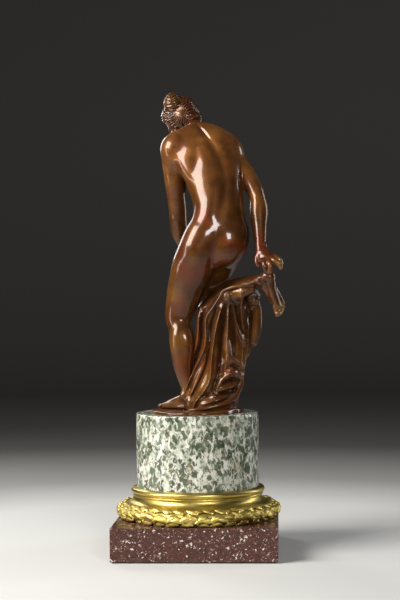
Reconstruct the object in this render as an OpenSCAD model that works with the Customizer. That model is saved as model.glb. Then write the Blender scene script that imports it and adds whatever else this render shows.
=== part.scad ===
// Bronze statuette of a bather drying her foot, on a drum, gilt mouldings and a square plinth.
// Frame: origin at the middle of the resting face, +Z up, the figure's back towards -Y.

/* [Plinth] */
// Side of the square plinth
plinth_w = 137; // [134:0.5:150]
// Height of the plinth's stone
plinth_h = 27.6; // [20:0.2:40]
// Chamfer on the plinth's edges
plinth_chamfer = 0.6; // [0.3:0.1:1.2]
// Thickness of the baize under the plinth
baize_t = 0.8; // [0.5:0.1:1.5]
// How far the baize stops short of the plinth's edge
baize_inset = 2; // [1:0.5:5]

/* [Gilt mouldings] */
// Outer radius of the laurel wreath
wreath_r = 70; // [69:0.5:72]
// Radius of the wreath's round section
wreath_tube_r = 6.8; // [6:0.1:7.4]
// Outer radius of the upper bead
bead_r = 57.4; // [56.5:0.1:58.5]
// Height of both mouldings together
moulding_h = 26.8; // [25:0.2:30]

/* [Drum] */
// Radius of the stone drum
drum_r = 52.5; // [51:0.1:52.5]
// Height of the drum that shows above its seat
drum_h = 62.2; // [50:0.2:80]
// Depth of the seat that holds the drum's foot
seat_depth = 3; // [2:0.5:4]

/* [Bronze] */
// Scale of the figure, its support and its drapery
figure_scale = 1; // [0.9:0.01:1]
// Thickness of the bronze ground plate
ground_t = 3.2; // [3:0.1:4]
// Diameter of the dowels in the section joints
dowel_d = 3; // [2:0.5:4]
// Length of each dowel
dowel_l = 12; // [8:1:14]
// Facets round each limb
limb_fn = 18; // [14:2:24]

/* [Fixings] */
// Diameter of the tie rod
rod_d = 8; // [6:1:8]
// Bore for the tie rod
rod_bore_d = 8.6; // [8.4:0.1:10]
// Width of the nut across its flats
nut_af = 13; // [10:1:13]
// Diameter of the washer under the nut
washer_d = 24; // [18:1:26]

/* [Hidden] */

bronze = [0.36, 0.17, 0.07];
gilt = [0.80, 0.62, 0.22];
verde = [0.62, 0.70, 0.62];
porphyry = [0.36, 0.22, 0.21];
steel = [0.55, 0.56, 0.58];

plinth_top = baize_t + plinth_h;
seat_z = plinth_top + moulding_h - seat_depth;
lip_z = plinth_top + moulding_h;
deck_z = lip_z + drum_h;
clear = 0.15;
gap = 0.12;

// Joint centres of the figure, measured from the drum's top: [x, y, z, radius]
leg_l = [[-8.5, -2.2, 14.6, 4.9], [-10.7, -1.2, 31.6, 6.6], [-12, -0.2, 46, 9.2],
    [-13.2, 1, 64.6, 10.6], [-15.6, 5, 81, 11.6], [-12.8, 4.5, 92.6, 13.6],
    [-7, 0, 110, 16.2], [0.6, -8, 132, 17.4], [7.4, -13, 150.6, 17]];
foot_l = [[-3.6, -6.6, 7.4, 5], [-14, 3.6, 8.6, 5], [-25, 13.2, 6, 3.8], [-32, 18.8, 4.8, 2.4]];
leg_r = [[28.9, -9, 149.6, 15.5], [25.4, 2, 135.6, 15.4], [14.5, 19.5, 114, 13.6],
    [5.4, 31.5, 96.1, 11.2], [14, 22, 96, 10], [28, 8, 103, 8.9], [44.4, -5.5, 110, 6.5],
    [56.9, -15.4, 112.9, 4.9]];
foot_r = [[62.8, -20.8, 115.4, 5], [64, -17, 104, 5.4], [70.8, -15, 91.6, 4.4], [73.2, -13.4, 84, 2.6]];
arm_l = [[-19.2, 9.4, 227, 10.4], [-19.6, 12, 211, 9], [-17.4, 18.5, 189, 8.6],
    [-16.2, 25, 166, 8.2], [-13.6, 31.4, 152.6, 7.2], [-8, 41.2, 132.4, 4.8]];
hand_l = [[-4.6, 42.4, 125, 5], [1.4, 41.6, 115, 4.4], [6.6, 41, 108, 3.4]];
arm_r = [[28.4, 19, 229.6, 10], [36.4, 14, 216.6, 8.6], [45, 8, 202.1, 8.2],
    [53.6, 1, 183.1, 7.6], [55, -3.4, 167, 7.2], [55.6, -9, 150, 5.6], [56.2, -12.8, 138.6, 4.6]];
hand_r = [[58.8, -17.4, 133.4, 5.6], [63, -21.6, 127, 4.8], [68.6, -23, 122, 3]];
grip_r = [[60.4, -23, 127, 3.6], [62.6, -26, 119, 2.4]];
// Torso sections: [x, y, z], [half widths]
torso = [[[19, -12, 154.6], [25, 18, 18]], [[20.8, -8, 178.6], [22.4, 15.6, 14]],
    [[18.6, -1.6, 198.6], [23.6, 16.4, 15]], [[13.5, 6, 213], [26, 17, 15]],
    [[6.6, 14.5, 233.6], [26, 14, 13.4]]];
neck = [[5.9, 20, 238, 11], [-1, 27, 245, 9.4], [-9, 35.5, 252, 9]];

// Section joints: a point on the plane and the way the outer piece leaves
cut_shoulder_r = [[34.4, 15.5, 219.6], [0.45, -0.3, -0.84]];
cut_shoulder_l = [[-20.2, 12.2, 208.6], [0.04, 0.2, -0.98]];
cut_neck = [[-1.6, 29, 248], [-0.6, 0.6, 0.53]];
cut_hip = [[26.4, 2, 135.6], [-0.3, 0.62, -0.72]];

module at(p) { translate([p[0], p[1], p[2]]) children(); }
module on_deck() { translate([0, 0, deck_z]) scale(figure_scale) children(); }

// Turns local +Z to direction n, at point p
module aim(p, n) {
    translate(p) rotate([0, acos(n[2] / norm(n)), atan2(n[1], n[0])]) children();
}

// Everything on the outer side of a joint plane, within s of it
module beyond(c, s = 160) { aim(c[0], c[1]) translate([-s / 2, -s / 2, 0]) cube(s); }

module limb(points, fn = limb_fn, grow = 0) {
    for (i = [0 : len(points) - 2]) hull() {
        at(points[i]) sphere(r = points[i][3] + grow, $fn = fn);
        at(points[i + 1]) sphere(r = points[i + 1][3] + grow, $fn = fn);
    }
}

module section(s, grow = 0) { translate(s[0]) scale(s[1] + [grow, grow, grow]) sphere(r = 1, $fn = 24); }

module trunk(grow = 0) {
    for (i = [0 : len(torso) - 2]) hull() { section(torso[i], grow); section(torso[i + 1], grow); }
    hull() { section(torso[4], grow); at(neck[0]) sphere(r = neck[0][3] + grow, $fn = limb_fn); }
    hull() { section(torso[4], grow); at(arm_l[0]) sphere(r = 7.5 + grow, $fn = limb_fn); }
    hull() { section(torso[4], grow); at(arm_r[0]) sphere(r = 7.5 + grow, $fn = limb_fn); }
}

module dowel(c, d = dowel_d, l = dowel_l) {
    aim(c[0], c[1]) cylinder(h = l, d = d, center = true, $fn = 32);
}

// ---- stand ----
module baize_pad() {
    w = plinth_w - 2 * baize_inset;
    color("darkgreen") translate([-w / 2, -w / 2, 0]) cube([w, w, baize_t]);
}

module plinth_edges(z, c) {
    for (a = [0 : 90 : 270]) rotate([0, 0, a]) translate([plinth_w / 2, 0, z])
        rotate([0, 45, 0]) cube([c * sqrt(2), plinth_w + 4, c * sqrt(2)], center = true);
}

module porphyry_plinth() {
    color(porphyry) difference() {
        translate([-plinth_w / 2, -plinth_w / 2, baize_t]) cube([plinth_w, plinth_w, plinth_h]);
        plinth_edges(plinth_top, plinth_chamfer);
        plinth_edges(baize_t, plinth_chamfer);
        for (a = [0 : 90 : 270]) rotate([0, 0, a + 45])
            translate([plinth_w / sqrt(2), 0, plinth_top / 2])
            cube([plinth_chamfer * 1.4, 4, plinth_h * 2], center = true);
        translate([0, 0, -1]) cylinder(h = plinth_h * 2, d = rod_bore_d, $fn = 64);
        translate([0, 0, -1]) cylinder(h = 13.8, d = 30, $fn = 64);
    }
}

module scotia_moulding() {
    z0 = plinth_top;
    zc = lip_z - 4;
    ro = bead_r - 3.8;
    color(gilt) rotate_extrude($fn = 128) difference() {
        union() {
            // skirt that stands on the plinth
            translate([49, z0]) square([6.2, moulding_h - seat_depth]);
            // lip round the drum's foot
            translate([drum_r + clear, z0 + 14]) square([1.6, moulding_h - 14]);
            // bead
            intersection() {
                translate([ro, zc]) circle(r = 3.8, $fn = 64);
                translate([drum_r + clear, zc - 5]) square([10, 10]);
            }
            // fillets and the block that the hollow is cut from
            translate([50, z0 + 17.4]) square([5.6, 2]);
            translate([50, z0 + 13.6]) square([12.6, 4.6]);
        }
        translate([62.9, z0 + 18.6]) scale([1.72, 1]) circle(r = 4.4, $fn = 64);
        translate([0, seat_z]) square([drum_r + clear, 20]);
    }
}

module base_core() {
    color("tan") translate([0, 0, plinth_top]) difference() {
        cylinder(h = moulding_h - seat_depth, r = 49 - clear, $fn = 128);
        translate([0, 0, -1]) cylinder(h = moulding_h + 2, d = rod_bore_d, $fn = 64);
    }
}

module laurel_wreath_ring() {
    z0 = plinth_top;
    color(gilt) rotate_extrude($fn = 128) union() {
        translate([wreath_r - wreath_tube_r, z0 + wreath_tube_r]) circle(r = wreath_tube_r, $fn = 64);
        translate([55.4, z0]) square([wreath_r - wreath_tube_r - 55.4, 2 * wreath_tube_r - 0.1]);
    }
}

module marble_drum() {
    c = 0.8;
    color(verde) rotate_extrude($fn = 128) polygon([
        [rod_bore_d / 2, seat_z], [drum_r - c, seat_z], [drum_r, seat_z + c],
        [drum_r, deck_z - c], [drum_r - c, deck_z], [rod_bore_d / 2, deck_z]]);
}

module tie_rod() {
    color(steel) translate([0, 0, 3.4]) cylinder(h = deck_z + ground_t + 4 - 3.4, d = rod_d - 0.2, $fn = 48);
}

module rod_nut() {
    color(steel) translate([0, 0, 4.4]) difference() {
        cylinder(h = 6.4, d = nut_af / cos(30), $fn = 6);
        translate([0, 0, -1]) cylinder(h = 10, d = rod_d, $fn = 48);
    }
}

module rod_washer() {
    color(steel) translate([0, 0, 10.9]) difference() {
        cylinder(h = 1.8, d = washer_d, $fn = 64);
        translate([0, 0, -1]) cylinder(h = 4, d = rod_bore_d, $fn = 64);
    }
}

// ---- bronze ----
module ground_plate() {
    color(bronze) on_deck() difference() {
        union() {
            cylinder(h = ground_t, r = 39.5, $fn = 96);
            cylinder(h = ground_t + 6, r = 8, $fn = 48);
        }
        translate([0, 0, -1]) cylinder(h = ground_t + 5.2, d = rod_d, $fn = 48);
        translate([-11, 0.6, -1]) cylinder(h = ground_t + 2, d = 3.1, $fn = 24);
        for (p = support_screw_at) translate([p[0], p[1], -1]) cylinder(h = ground_t + 2, d = 4.1, $fn = 24);
    }
}

support_screw_at = [[24, -5], [19, 9.6]];

module foot_screw() {
    color(steel) on_deck() translate([-11, 0.6, 0.4]) union() {
        cylinder(h = 8.6, d = 3, $fn = 24);
    }
}

module support_screws() {
    color(steel) on_deck() for (p = support_screw_at)
        translate([p[0], p[1], 0.4]) cylinder(h = 14, d = 4, $fn = 24);
}

// Trunk under the drapery: [x, y, z, r]
stump_pts = [[18, 2, ground_t + 4, 13], [21.5, 2, 40, 13.4], [29, 2, 70, 12.4], [38, 0, 90, 10],
    [48, -5.6, 98.6, 6.6]];

module stump_form(grow = 0) {
    intersection() {
        limb(stump_pts, 16, grow);
        translate([-60, -60, ground_t]) cube([160, 120, 200]);
    }
}

module tree_stump() {
    color(bronze) on_deck() difference() {
        stump_form();
        cylinder(h = ground_t + 6, r = 8.05, $fn = 32);
        for (p = support_screw_at) translate([p[0], p[1], -1]) cylinder(h = 15.5, d = 4.05, $fn = 24);
        limb(leg_r, limb_fn);
        limb(leg_l, limb_fn);
    }
}

// Main folds from the top edge to the ground: lists of [x, y, z, r]
folds = [
    [[9, -3, 90, 4], [4.3, -6.7, 66, 4], [1.5, -8.3, 34, 4], [-6, -12, ground_t + 2.4, 3.6]],
    [[17, -8, 97, 4], [13.4, -13, 66, 4], [10, -15, 34, 4], [2, -20, ground_t + 2.4, 3.8]],
    [[27, -11, 103, 4], [24.8, -13.5, 66, 4], [22.6, -15.3, 34, 4], [15, -21, ground_t + 2.4, 3.8]],
    [[40, -12, 104, 4], [35, -9, 66, 4], [32.5, -10, 34, 4], [26, -14, ground_t + 2.4, 4]],
    [[42, 2, 98, 4], [39, 3, 66, 4], [37, 1.7, 34, 4], [30, -0.5, ground_t + 2.4, 4]],
    [[36, 12, 94, 4], [33.3, 15, 66, 4], [31, 14, 34, 4], [25, 12, ground_t + 2.4, 4]],
    [[22, 20, 92, 4], [20, 20, 66, 4], [17.5, 19, 34, 4], [11.5, 17.5, ground_t + 2.4, 4]],
    [[9, 22, 88, 5], [6, 16, 66, 4], [3, 13, 34, 4], [-4, 11, ground_t + 2.4, 3.6]]];
// The lap of cloth that hangs at the side
lap = [[48.6, 4, 94, 4.2], [50.4, 2, 80, 4], [49.4, 2, 64, 3.2]];

module drapery_form() {
    for (i = [0 : len(folds) - 1]) limb(folds[i], 10);
    for (k = [0 : 2]) hull() {
        for (i = [0 : len(folds) - 1]) {
            at(folds[i][k]) sphere(r = folds[i][k][3] - 1, $fn = 10);
            at(folds[i][k + 1]) sphere(r = folds[i][k + 1][3] - 1, $fn = 10);
        }
    }
    hull() {
        for (p = lap) at(p) sphere(r = p[3], $fn = 12);
        at([38, 5, 90]) sphere(r = 5, $fn = 12);
        at([37, 4, 68]) sphere(r = 5, $fn = 12);
    }
}

module drapery() {
    color(bronze) on_deck() difference() {
        intersection() {
            drapery_form();
            translate([-60, -60, ground_t]) cube([160, 120, 200]);
        }
        stump_form();
        cylinder(h = ground_t + 6, r = 8.05, $fn = 32);
        limb(leg_r, limb_fn);
        limb(leg_l, limb_fn);
        limb(foot_l, limb_fn);
        limb(foot_r, limb_fn);
    }
}

module raised_leg_form() {
    difference() {
        union() {
            intersection() { limb([for (i = [0 : 3]) leg_r[i]]); beyond(cut_hip); }
            limb([for (i = [3 : 7]) leg_r[i]]);
            limb(foot_r);
            hull() { at(leg_r[7]) sphere(r = leg_r[7][3], $fn = limb_fn); at(foot_r[0]) sphere(r = foot_r[0][3], $fn = limb_fn); }
            hull() { at(leg_r[7]) sphere(r = leg_r[7][3], $fn = limb_fn); at(foot_r[1]) sphere(r = foot_r[1][3], $fn = limb_fn); }
        }
        limb(leg_l, limb_fn, gap);
        trunk(gap);
    }
}

module figure_raised_leg() {
    color(bronze) on_deck() difference() {
        raised_leg_form();
        dowel(cut_hip, dowel_d + 0.1, dowel_l + 0.4);
    }
}

module right_arm_form() {
    difference() {
        union() {
            intersection() { limb(arm_r); beyond(cut_shoulder_r); }
            hull() { at(arm_r[6]) sphere(r = arm_r[6][3], $fn = limb_fn); at(hand_r[0]) sphere(r = hand_r[0][3], $fn = limb_fn); }
            limb(hand_r);
            limb(grip_r);
        }
        limb(foot_r, limb_fn, gap);
        limb(leg_r, limb_fn, gap);
        trunk(gap);
    }
}

module figure_right_arm() {
    color(bronze) on_deck() difference() {
        right_arm_form();
        dowel(cut_shoulder_r, dowel_d + 0.1, dowel_l + 0.4);
    }
}

module left_arm_form() {
    difference() {
        union() {
            intersection() { limb(arm_l); beyond(cut_shoulder_l); }
            hull() { at(arm_l[5]) sphere(r = arm_l[5][3], $fn = limb_fn); at(hand_l[0]) sphere(r = hand_l[0][3], $fn = limb_fn); }
            limb(hand_l);
        }
        limb(leg_r, limb_fn, gap);
        trunk(gap);
    }
}

module figure_left_arm() {
    color(bronze) on_deck() difference() {
        left_arm_form();
        dowel(cut_shoulder_l, dowel_d + 0.1, dowel_l + 0.4);
    }
}

module head_form() {
    intersection() {
        union() {
            limb(neck);
            hull() {
                at([-14, 37.5, 260.5]) sphere(r = 15, $fn = 24);
                at([-13.4, 41.5, 247]) sphere(r = 9, $fn = 24);
            }
            hull() { at([-19.9, 28, 268.6]) sphere(r = 8.6, $fn = 18); at([-20.6, 30, 274]) sphere(r = 5.4, $fn = 18); }
            at([-23, 32, 248.6]) sphere(r = 7, $fn = 16);
            at([-0.6, 31, 257]) sphere(r = 5, $fn = 16);
        }
        beyond(cut_neck);
    }
}

module figure_head() {
    color(bronze) on_deck() difference() {
        head_form();
        dowel(cut_neck, dowel_d + 0.1, dowel_l + 0.4);
    }
}

module standing_ankle() {
    hull() { at(leg_l[0]) sphere(r = leg_l[0][3], $fn = limb_fn); at(foot_l[0]) sphere(r = foot_l[0][3], $fn = limb_fn); }
    hull() { at(leg_l[0]) sphere(r = leg_l[0][3], $fn = limb_fn); at(foot_l[1]) sphere(r = foot_l[1][3], $fn = limb_fn); }
}

module figure_body() {
    color(bronze) on_deck() difference() {
        union() {
            trunk();
            limb([neck[0], neck[1]]);
            limb(leg_l);
            limb(foot_l);
            standing_ankle();
            difference() { limb([leg_r[0], leg_r[1]]); beyond(cut_hip); }
            difference() { limb([arm_l[0], arm_l[1]]); beyond(cut_shoulder_l); }
            difference() { limb([arm_r[0], arm_r[1]]); beyond(cut_shoulder_r); }
        }
        translate([-100, -100, -40]) cube([200, 200, 40 + ground_t]);
        beyond(cut_neck, 27);
        translate([-11, 0.6, 0]) cylinder(h = 9.4, d = 3.1, $fn = 24);
        dowel(cut_hip, dowel_d + 0.1, dowel_l + 0.4);
        dowel(cut_neck, dowel_d + 0.1, dowel_l + 0.4);
        dowel(cut_shoulder_l, dowel_d + 0.1, dowel_l + 0.4);
        dowel(cut_shoulder_r, dowel_d + 0.1, dowel_l + 0.4);
    }
}

module neck_dowel() { color(steel) on_deck() dowel(cut_neck); }
module left_shoulder_dowel() { color(steel) on_deck() dowel(cut_shoulder_l); }
module right_shoulder_dowel() { color(steel) on_deck() dowel(cut_shoulder_r); }
module hip_dowel() { color(steel) on_deck() dowel(cut_hip); }

baize_pad();
porphyry_plinth();
base_core();
scotia_moulding();
laurel_wreath_ring();
marble_drum();
ground_plate();
tree_stump();
drapery();
figure_body();
figure_head();
figure_left_arm();
figure_right_arm();
figure_raised_leg();
tie_rod();
rod_nut();
rod_washer();
neck_dowel();
left_shoulder_dowel();
right_shoulder_dowel();
hip_dowel();
foot_screw();
support_screws();
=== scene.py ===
"""Bronze statuette of a bather on a drum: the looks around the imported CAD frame."""
import math

import bpy
import numpy as np
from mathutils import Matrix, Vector


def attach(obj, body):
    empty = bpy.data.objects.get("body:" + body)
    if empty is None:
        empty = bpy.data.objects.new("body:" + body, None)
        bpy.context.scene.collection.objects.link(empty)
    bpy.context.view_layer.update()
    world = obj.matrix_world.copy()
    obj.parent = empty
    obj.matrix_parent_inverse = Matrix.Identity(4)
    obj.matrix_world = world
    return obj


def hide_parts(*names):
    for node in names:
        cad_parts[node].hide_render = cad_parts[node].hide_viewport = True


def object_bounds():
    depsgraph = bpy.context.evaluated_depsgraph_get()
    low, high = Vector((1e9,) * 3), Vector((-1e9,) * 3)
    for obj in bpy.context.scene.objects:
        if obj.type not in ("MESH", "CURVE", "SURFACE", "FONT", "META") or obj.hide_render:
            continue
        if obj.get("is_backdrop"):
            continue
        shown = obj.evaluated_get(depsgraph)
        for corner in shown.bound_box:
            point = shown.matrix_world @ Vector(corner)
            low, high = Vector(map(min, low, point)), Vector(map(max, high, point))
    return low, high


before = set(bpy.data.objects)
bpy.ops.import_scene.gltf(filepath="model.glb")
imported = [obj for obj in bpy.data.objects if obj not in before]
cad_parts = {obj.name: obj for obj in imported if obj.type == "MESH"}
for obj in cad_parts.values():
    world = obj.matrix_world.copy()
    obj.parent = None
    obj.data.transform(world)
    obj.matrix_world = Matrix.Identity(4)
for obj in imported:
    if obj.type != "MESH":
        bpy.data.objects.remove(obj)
SIZE0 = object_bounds()
rng = np.random.default_rng(7)


# ------------------------------------------------------------------ sculpting kit (mm)
BIG = 12.0


def V(*a):
    return np.array(a, float)


def unit(v):
    v = np.asarray(v, float)
    return v / np.linalg.norm(v)


def smin(a, b, k):
    if np.isscalar(k) and k <= 0:
        return np.minimum(a, b)
    h = np.maximum(k - np.abs(a - b), 0) / k
    return np.minimum(a, b) - h * h * k * 0.25


def smax(a, b, k):
    return -smin(-a, -b, k)


def step(a, b, x):
    t = np.clip((x - a) / (b - a), 0, 1)
    return t * t * (3 - 2 * t)


class Grid:
    def __init__(self, lo, hi, h):
        self.lo, self.h = np.array(lo, float), float(h)
        self.n = tuple(int(math.ceil((hi[i] - lo[i]) / h)) + 1 for i in range(3))
        self.ax = [(lo[i] + h * np.arange(self.n[i])).astype(np.float32) for i in range(3)]

    def window(self, lo, hi):
        a = [max(0, int(math.floor((lo[i] - self.lo[i]) / self.h))) for i in range(3)]
        b = [min(self.n[i], int(math.ceil((hi[i] - self.lo[i]) / self.h)) + 1) for i in range(3)]
        if any(b[i] <= a[i] for i in range(3)):
            return None
        sl = tuple(slice(a[i], b[i]) for i in range(3))
        return sl, (self.ax[0][sl[0]][:, None, None], self.ax[1][sl[1]][None, :, None],
                    self.ax[2][sl[2]][None, None, :])


class Field:
    """A distance field on a grid. Every call touches only the cells near its own shape."""

    def __init__(self, g):
        self.g = g
        self.v = np.full(g.n, BIG, np.float32)

    def _merge(self, w, d, k, how, xyz):
        kk = k(*xyz) if callable(k) else k
        if how == "add":
            return smin(w, d, kk)
        if how == "cut":
            return smax(w, -d, kk)
        return smax(w, d, kk)

    def ell(self, c, radii, axes=None, k=3.0, how="add", m=5.0):
        c, radii = np.asarray(c, float), np.asarray(radii, float)
        A = np.eye(3) if axes is None else np.asarray(axes, float)
        ext = np.sqrt(((A * radii[:, None]) ** 2).sum(0)) + m
        win = self.g.window(c - ext, c + ext)
        if win is None:
            return
        sl, (X, Y, Z) = win
        x, y, z = X - c[0], Y - c[1], Z - c[2]
        k0 = k1 = 0
        for i in range(3):
            q = (A[i, 0] * x + A[i, 1] * y + A[i, 2] * z).astype(np.float32)
            k0 = k0 + (q / radii[i]) ** 2
            k1 = k1 + (q / radii[i] ** 2) ** 2
        k0, k1 = np.sqrt(k0), np.sqrt(k1)
        d = k0 * (k0 - 1) / (k1 + 1e-6)
        self.v[sl] = self._merge(self.v[sl], d, k, how, (X, Y, Z))

    def chain(self, pts, k=3.0, how="add", m=5.0, n=5, w=None, s=1.0, ends=True):
        """A smooth tube through [x, y, z, r] points; w and s flatten it along w by s."""
        P = np.array(pts, float)
        if len(P) > 2:
            E = np.vstack([2 * P[0] - P[1], P, 2 * P[-1] - P[-2]])
            out = []
            for i in range(len(P) - 1):
                p0, p1, p2, p3 = E[i:i + 4]
                for j in range(n):
                    t = j / n
                    out.append(0.5 * (2 * p1 + (p2 - p0) * t + (2 * p0 - 5 * p1 + 4 * p2 - p3) * t * t
                                      + (3 * p1 - p0 - 3 * p2 + p3) * t ** 3))
            out.append(P[-1])
            P = np.array(out)
        rm = P[:, 3].max() + m
        win = self.g.window(P[:, :3].min(0) - rm, P[:, :3].max(0) + rm)
        if win is None:
            return
        sl, (X, Y, Z) = win
        tmp = np.full(tuple(s_.stop - s_.start for s_ in sl), BIG, np.float32)
        o = [s_.start for s_ in sl]
        for a, b in zip(P[:-1], P[1:]):
            r = max(a[3], b[3]) + m
            sub = self.g.window(np.minimum(a, b)[:3] - r, np.maximum(a, b)[:3] + r)
            if sub is None:
                continue
            s2, (x, y, z) = sub
            loc = tuple(slice(q.start - o[i], q.stop - o[i]) for i, q in enumerate(s2))
            ba = b[:3] - a[:3]
            l2 = max(float(ba @ ba), 1e-9)
            px, py, pz = x - a[0], y - a[1], z - a[2]
            t = np.clip((px * ba[0] + py * ba[1] + pz * ba[2]) / l2, 0, 1).astype(np.float32)
            qx, qy, qz = px - t * ba[0], py - t * ba[1], pz - t * ba[2]
            if w is not None:
                e = (qx * w[0] + qy * w[1] + qz * w[2]) * (s - 1)
                qx, qy, qz = qx + e * w[0], qy + e * w[1], qz + e * w[2]
            d = np.sqrt(qx * qx + qy * qy + qz * qz) - (a[3] + (b[3] - a[3]) * t)
            tmp[loc] = np.minimum(tmp[loc], d)
        self.v[sl] = self._merge(self.v[sl], tmp, k, how, (X, Y, Z))

    @staticmethod
    def smooth(P, n=5):
        P = np.array(P, float)
        if len(P) < 3:
            return P
        E = np.vstack([2 * P[0] - P[1], P, 2 * P[-1] - P[-2]])
        out = []
        for i in range(len(P) - 1):
            p0, p1, p2, p3 = E[i:i + 4]
            for j in range(n):
                t = j / n
                out.append(0.5 * (2 * p1 + (p2 - p0) * t + (2 * p0 - 5 * p1 + 4 * p2 - p3) * t * t
                                  + (3 * p1 - p0 - 3 * p2 + p3) * t ** 3))
        return np.array(out + [P[-1]])

    def crease(self, pts, width, p=2.0):
        """Presses a soft groove along [x, y, z, depth]; a negative depth raises a ridge."""
        P = self.smooth(pts)
        m = width * 2.6
        win = self.g.window(P[:, :3].min(0) - m, P[:, :3].max(0) + m)
        if win is None:
            return
        sl, (X, Y, Z) = win
        best = np.full(tuple(s_.stop - s_.start for s_ in sl), 1e4, np.float32)
        dep = np.zeros_like(best)
        for a, b in zip(P[:-1], P[1:]):
            ba = b[:3] - a[:3]
            l2 = max(float(ba @ ba), 1e-9)
            t = np.clip(((X - a[0]) * ba[0] + (Y - a[1]) * ba[1] + (Z - a[2]) * ba[2]) / l2, 0, 1)
            d = np.sqrt((X - a[0] - t * ba[0]) ** 2 + (Y - a[1] - t * ba[1]) ** 2 + (Z - a[2] - t * ba[2]) ** 2)
            c = d < best
            best = np.where(c, d, best)
            dep = np.where(c, a[3] + (b[3] - a[3]) * t, dep)
        self.v[sl] += (dep * np.exp(-(best / width) ** p)).astype(np.float32)

    def relief(self, pts, width, yc, side=-1, p=2.0, axis=0):
        """The same groove drawn straight through one side: points are [x, z, depth] (or [y, z, depth] with axis 1)."""
        P = self.smooth(pts)
        o = 1 - axis
        m = width * 2.6
        lo, hi = list(self.g.lo), [a[-1] for a in self.g.ax]
        lo[axis], hi[axis] = P[:, 0].min() - m, P[:, 0].max() + m
        lo[2], hi[2] = P[:, 1].min() - m, P[:, 1].max() + m
        win = self.g.window(lo, hi)
        if win is None:
            return
        sl, xyz = win
        A, Z, O = xyz[axis], xyz[2], xyz[o]
        best, dep = 1e4 + 0 * (A + Z), 0 * (A + Z)
        for a, b in zip(P[:-1], P[1:]):
            ba = b[:2] - a[:2]
            l2 = max(float(ba @ ba), 1e-9)
            t = np.clip(((A - a[0]) * ba[0] + (Z - a[1]) * ba[1]) / l2, 0, 1)
            d = np.sqrt((A - a[0] - t * ba[0]) ** 2 + (Z - a[1] - t * ba[1]) ** 2)
            c = d < best
            best = np.where(c, d, best)
            dep = np.where(c, a[2] + (b[2] - a[2]) * t, dep)
        y0 = yc(Z) if callable(yc) else yc
        w = step(0, 5, (O - y0) * side)
        self.v[sl] += (dep * np.exp(-(best / width) ** p) * w).astype(np.float32)

    def plane(self, p, n, k=0.5, lo=None, hi=None):
        """Removes what lies on the side that n points to."""
        n = unit(n)
        g = self.g
        win = g.window(lo if lo is not None else g.lo, hi if hi is not None else [a[-1] for a in g.ax])
        if win is None:
            return
        sl, (X, Y, Z) = win
        d = (X - p[0]) * n[0] + (Y - p[1]) * n[1] + (Z - p[2]) * n[2]
        self.v[sl] = smax(self.v[sl], d.astype(np.float32), k)

    def bump(self, lo, hi, f):
        win = self.g.window(lo, hi)
        if win is None:
            return
        sl, (X, Y, Z) = win
        self.v[sl] += f(X, Y, Z, self.v[sl]).astype(np.float32)


def sample(v, g, P):
    q = (P - g.lo) / g.h
    i = np.floor(q).astype(np.int64)
    for a in range(3):
        i[:, a] = np.clip(i[:, a], 0, g.n[a] - 2)
    f = (q - i).astype(np.float32)
    x, y, z = i.T
    fx, fy, fz = f.T
    c00 = v[x, y, z] * (1 - fx) + v[x + 1, y, z] * fx
    c10 = v[x, y + 1, z] * (1 - fx) + v[x + 1, y + 1, z] * fx
    c01 = v[x, y, z + 1] * (1 - fx) + v[x + 1, y, z + 1] * fx
    c11 = v[x, y + 1, z + 1] * (1 - fx) + v[x + 1, y + 1, z + 1] * fx
    c0 = c00 * (1 - fy) + c10 * fy
    c1 = c01 * (1 - fy) + c11 * fy
    return c0 * (1 - fz) + c1 * fz


def slope(v, g, P, e=1.0):
    out = np.empty((len(P), 3), np.float32)
    for a in range(3):
        d = np.zeros(3)
        d[a] = g.h * e
        out[:, a] = (sample(v, g, P + d) - sample(v, g, P - d)) / (2 * g.h * e)
    return out


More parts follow.
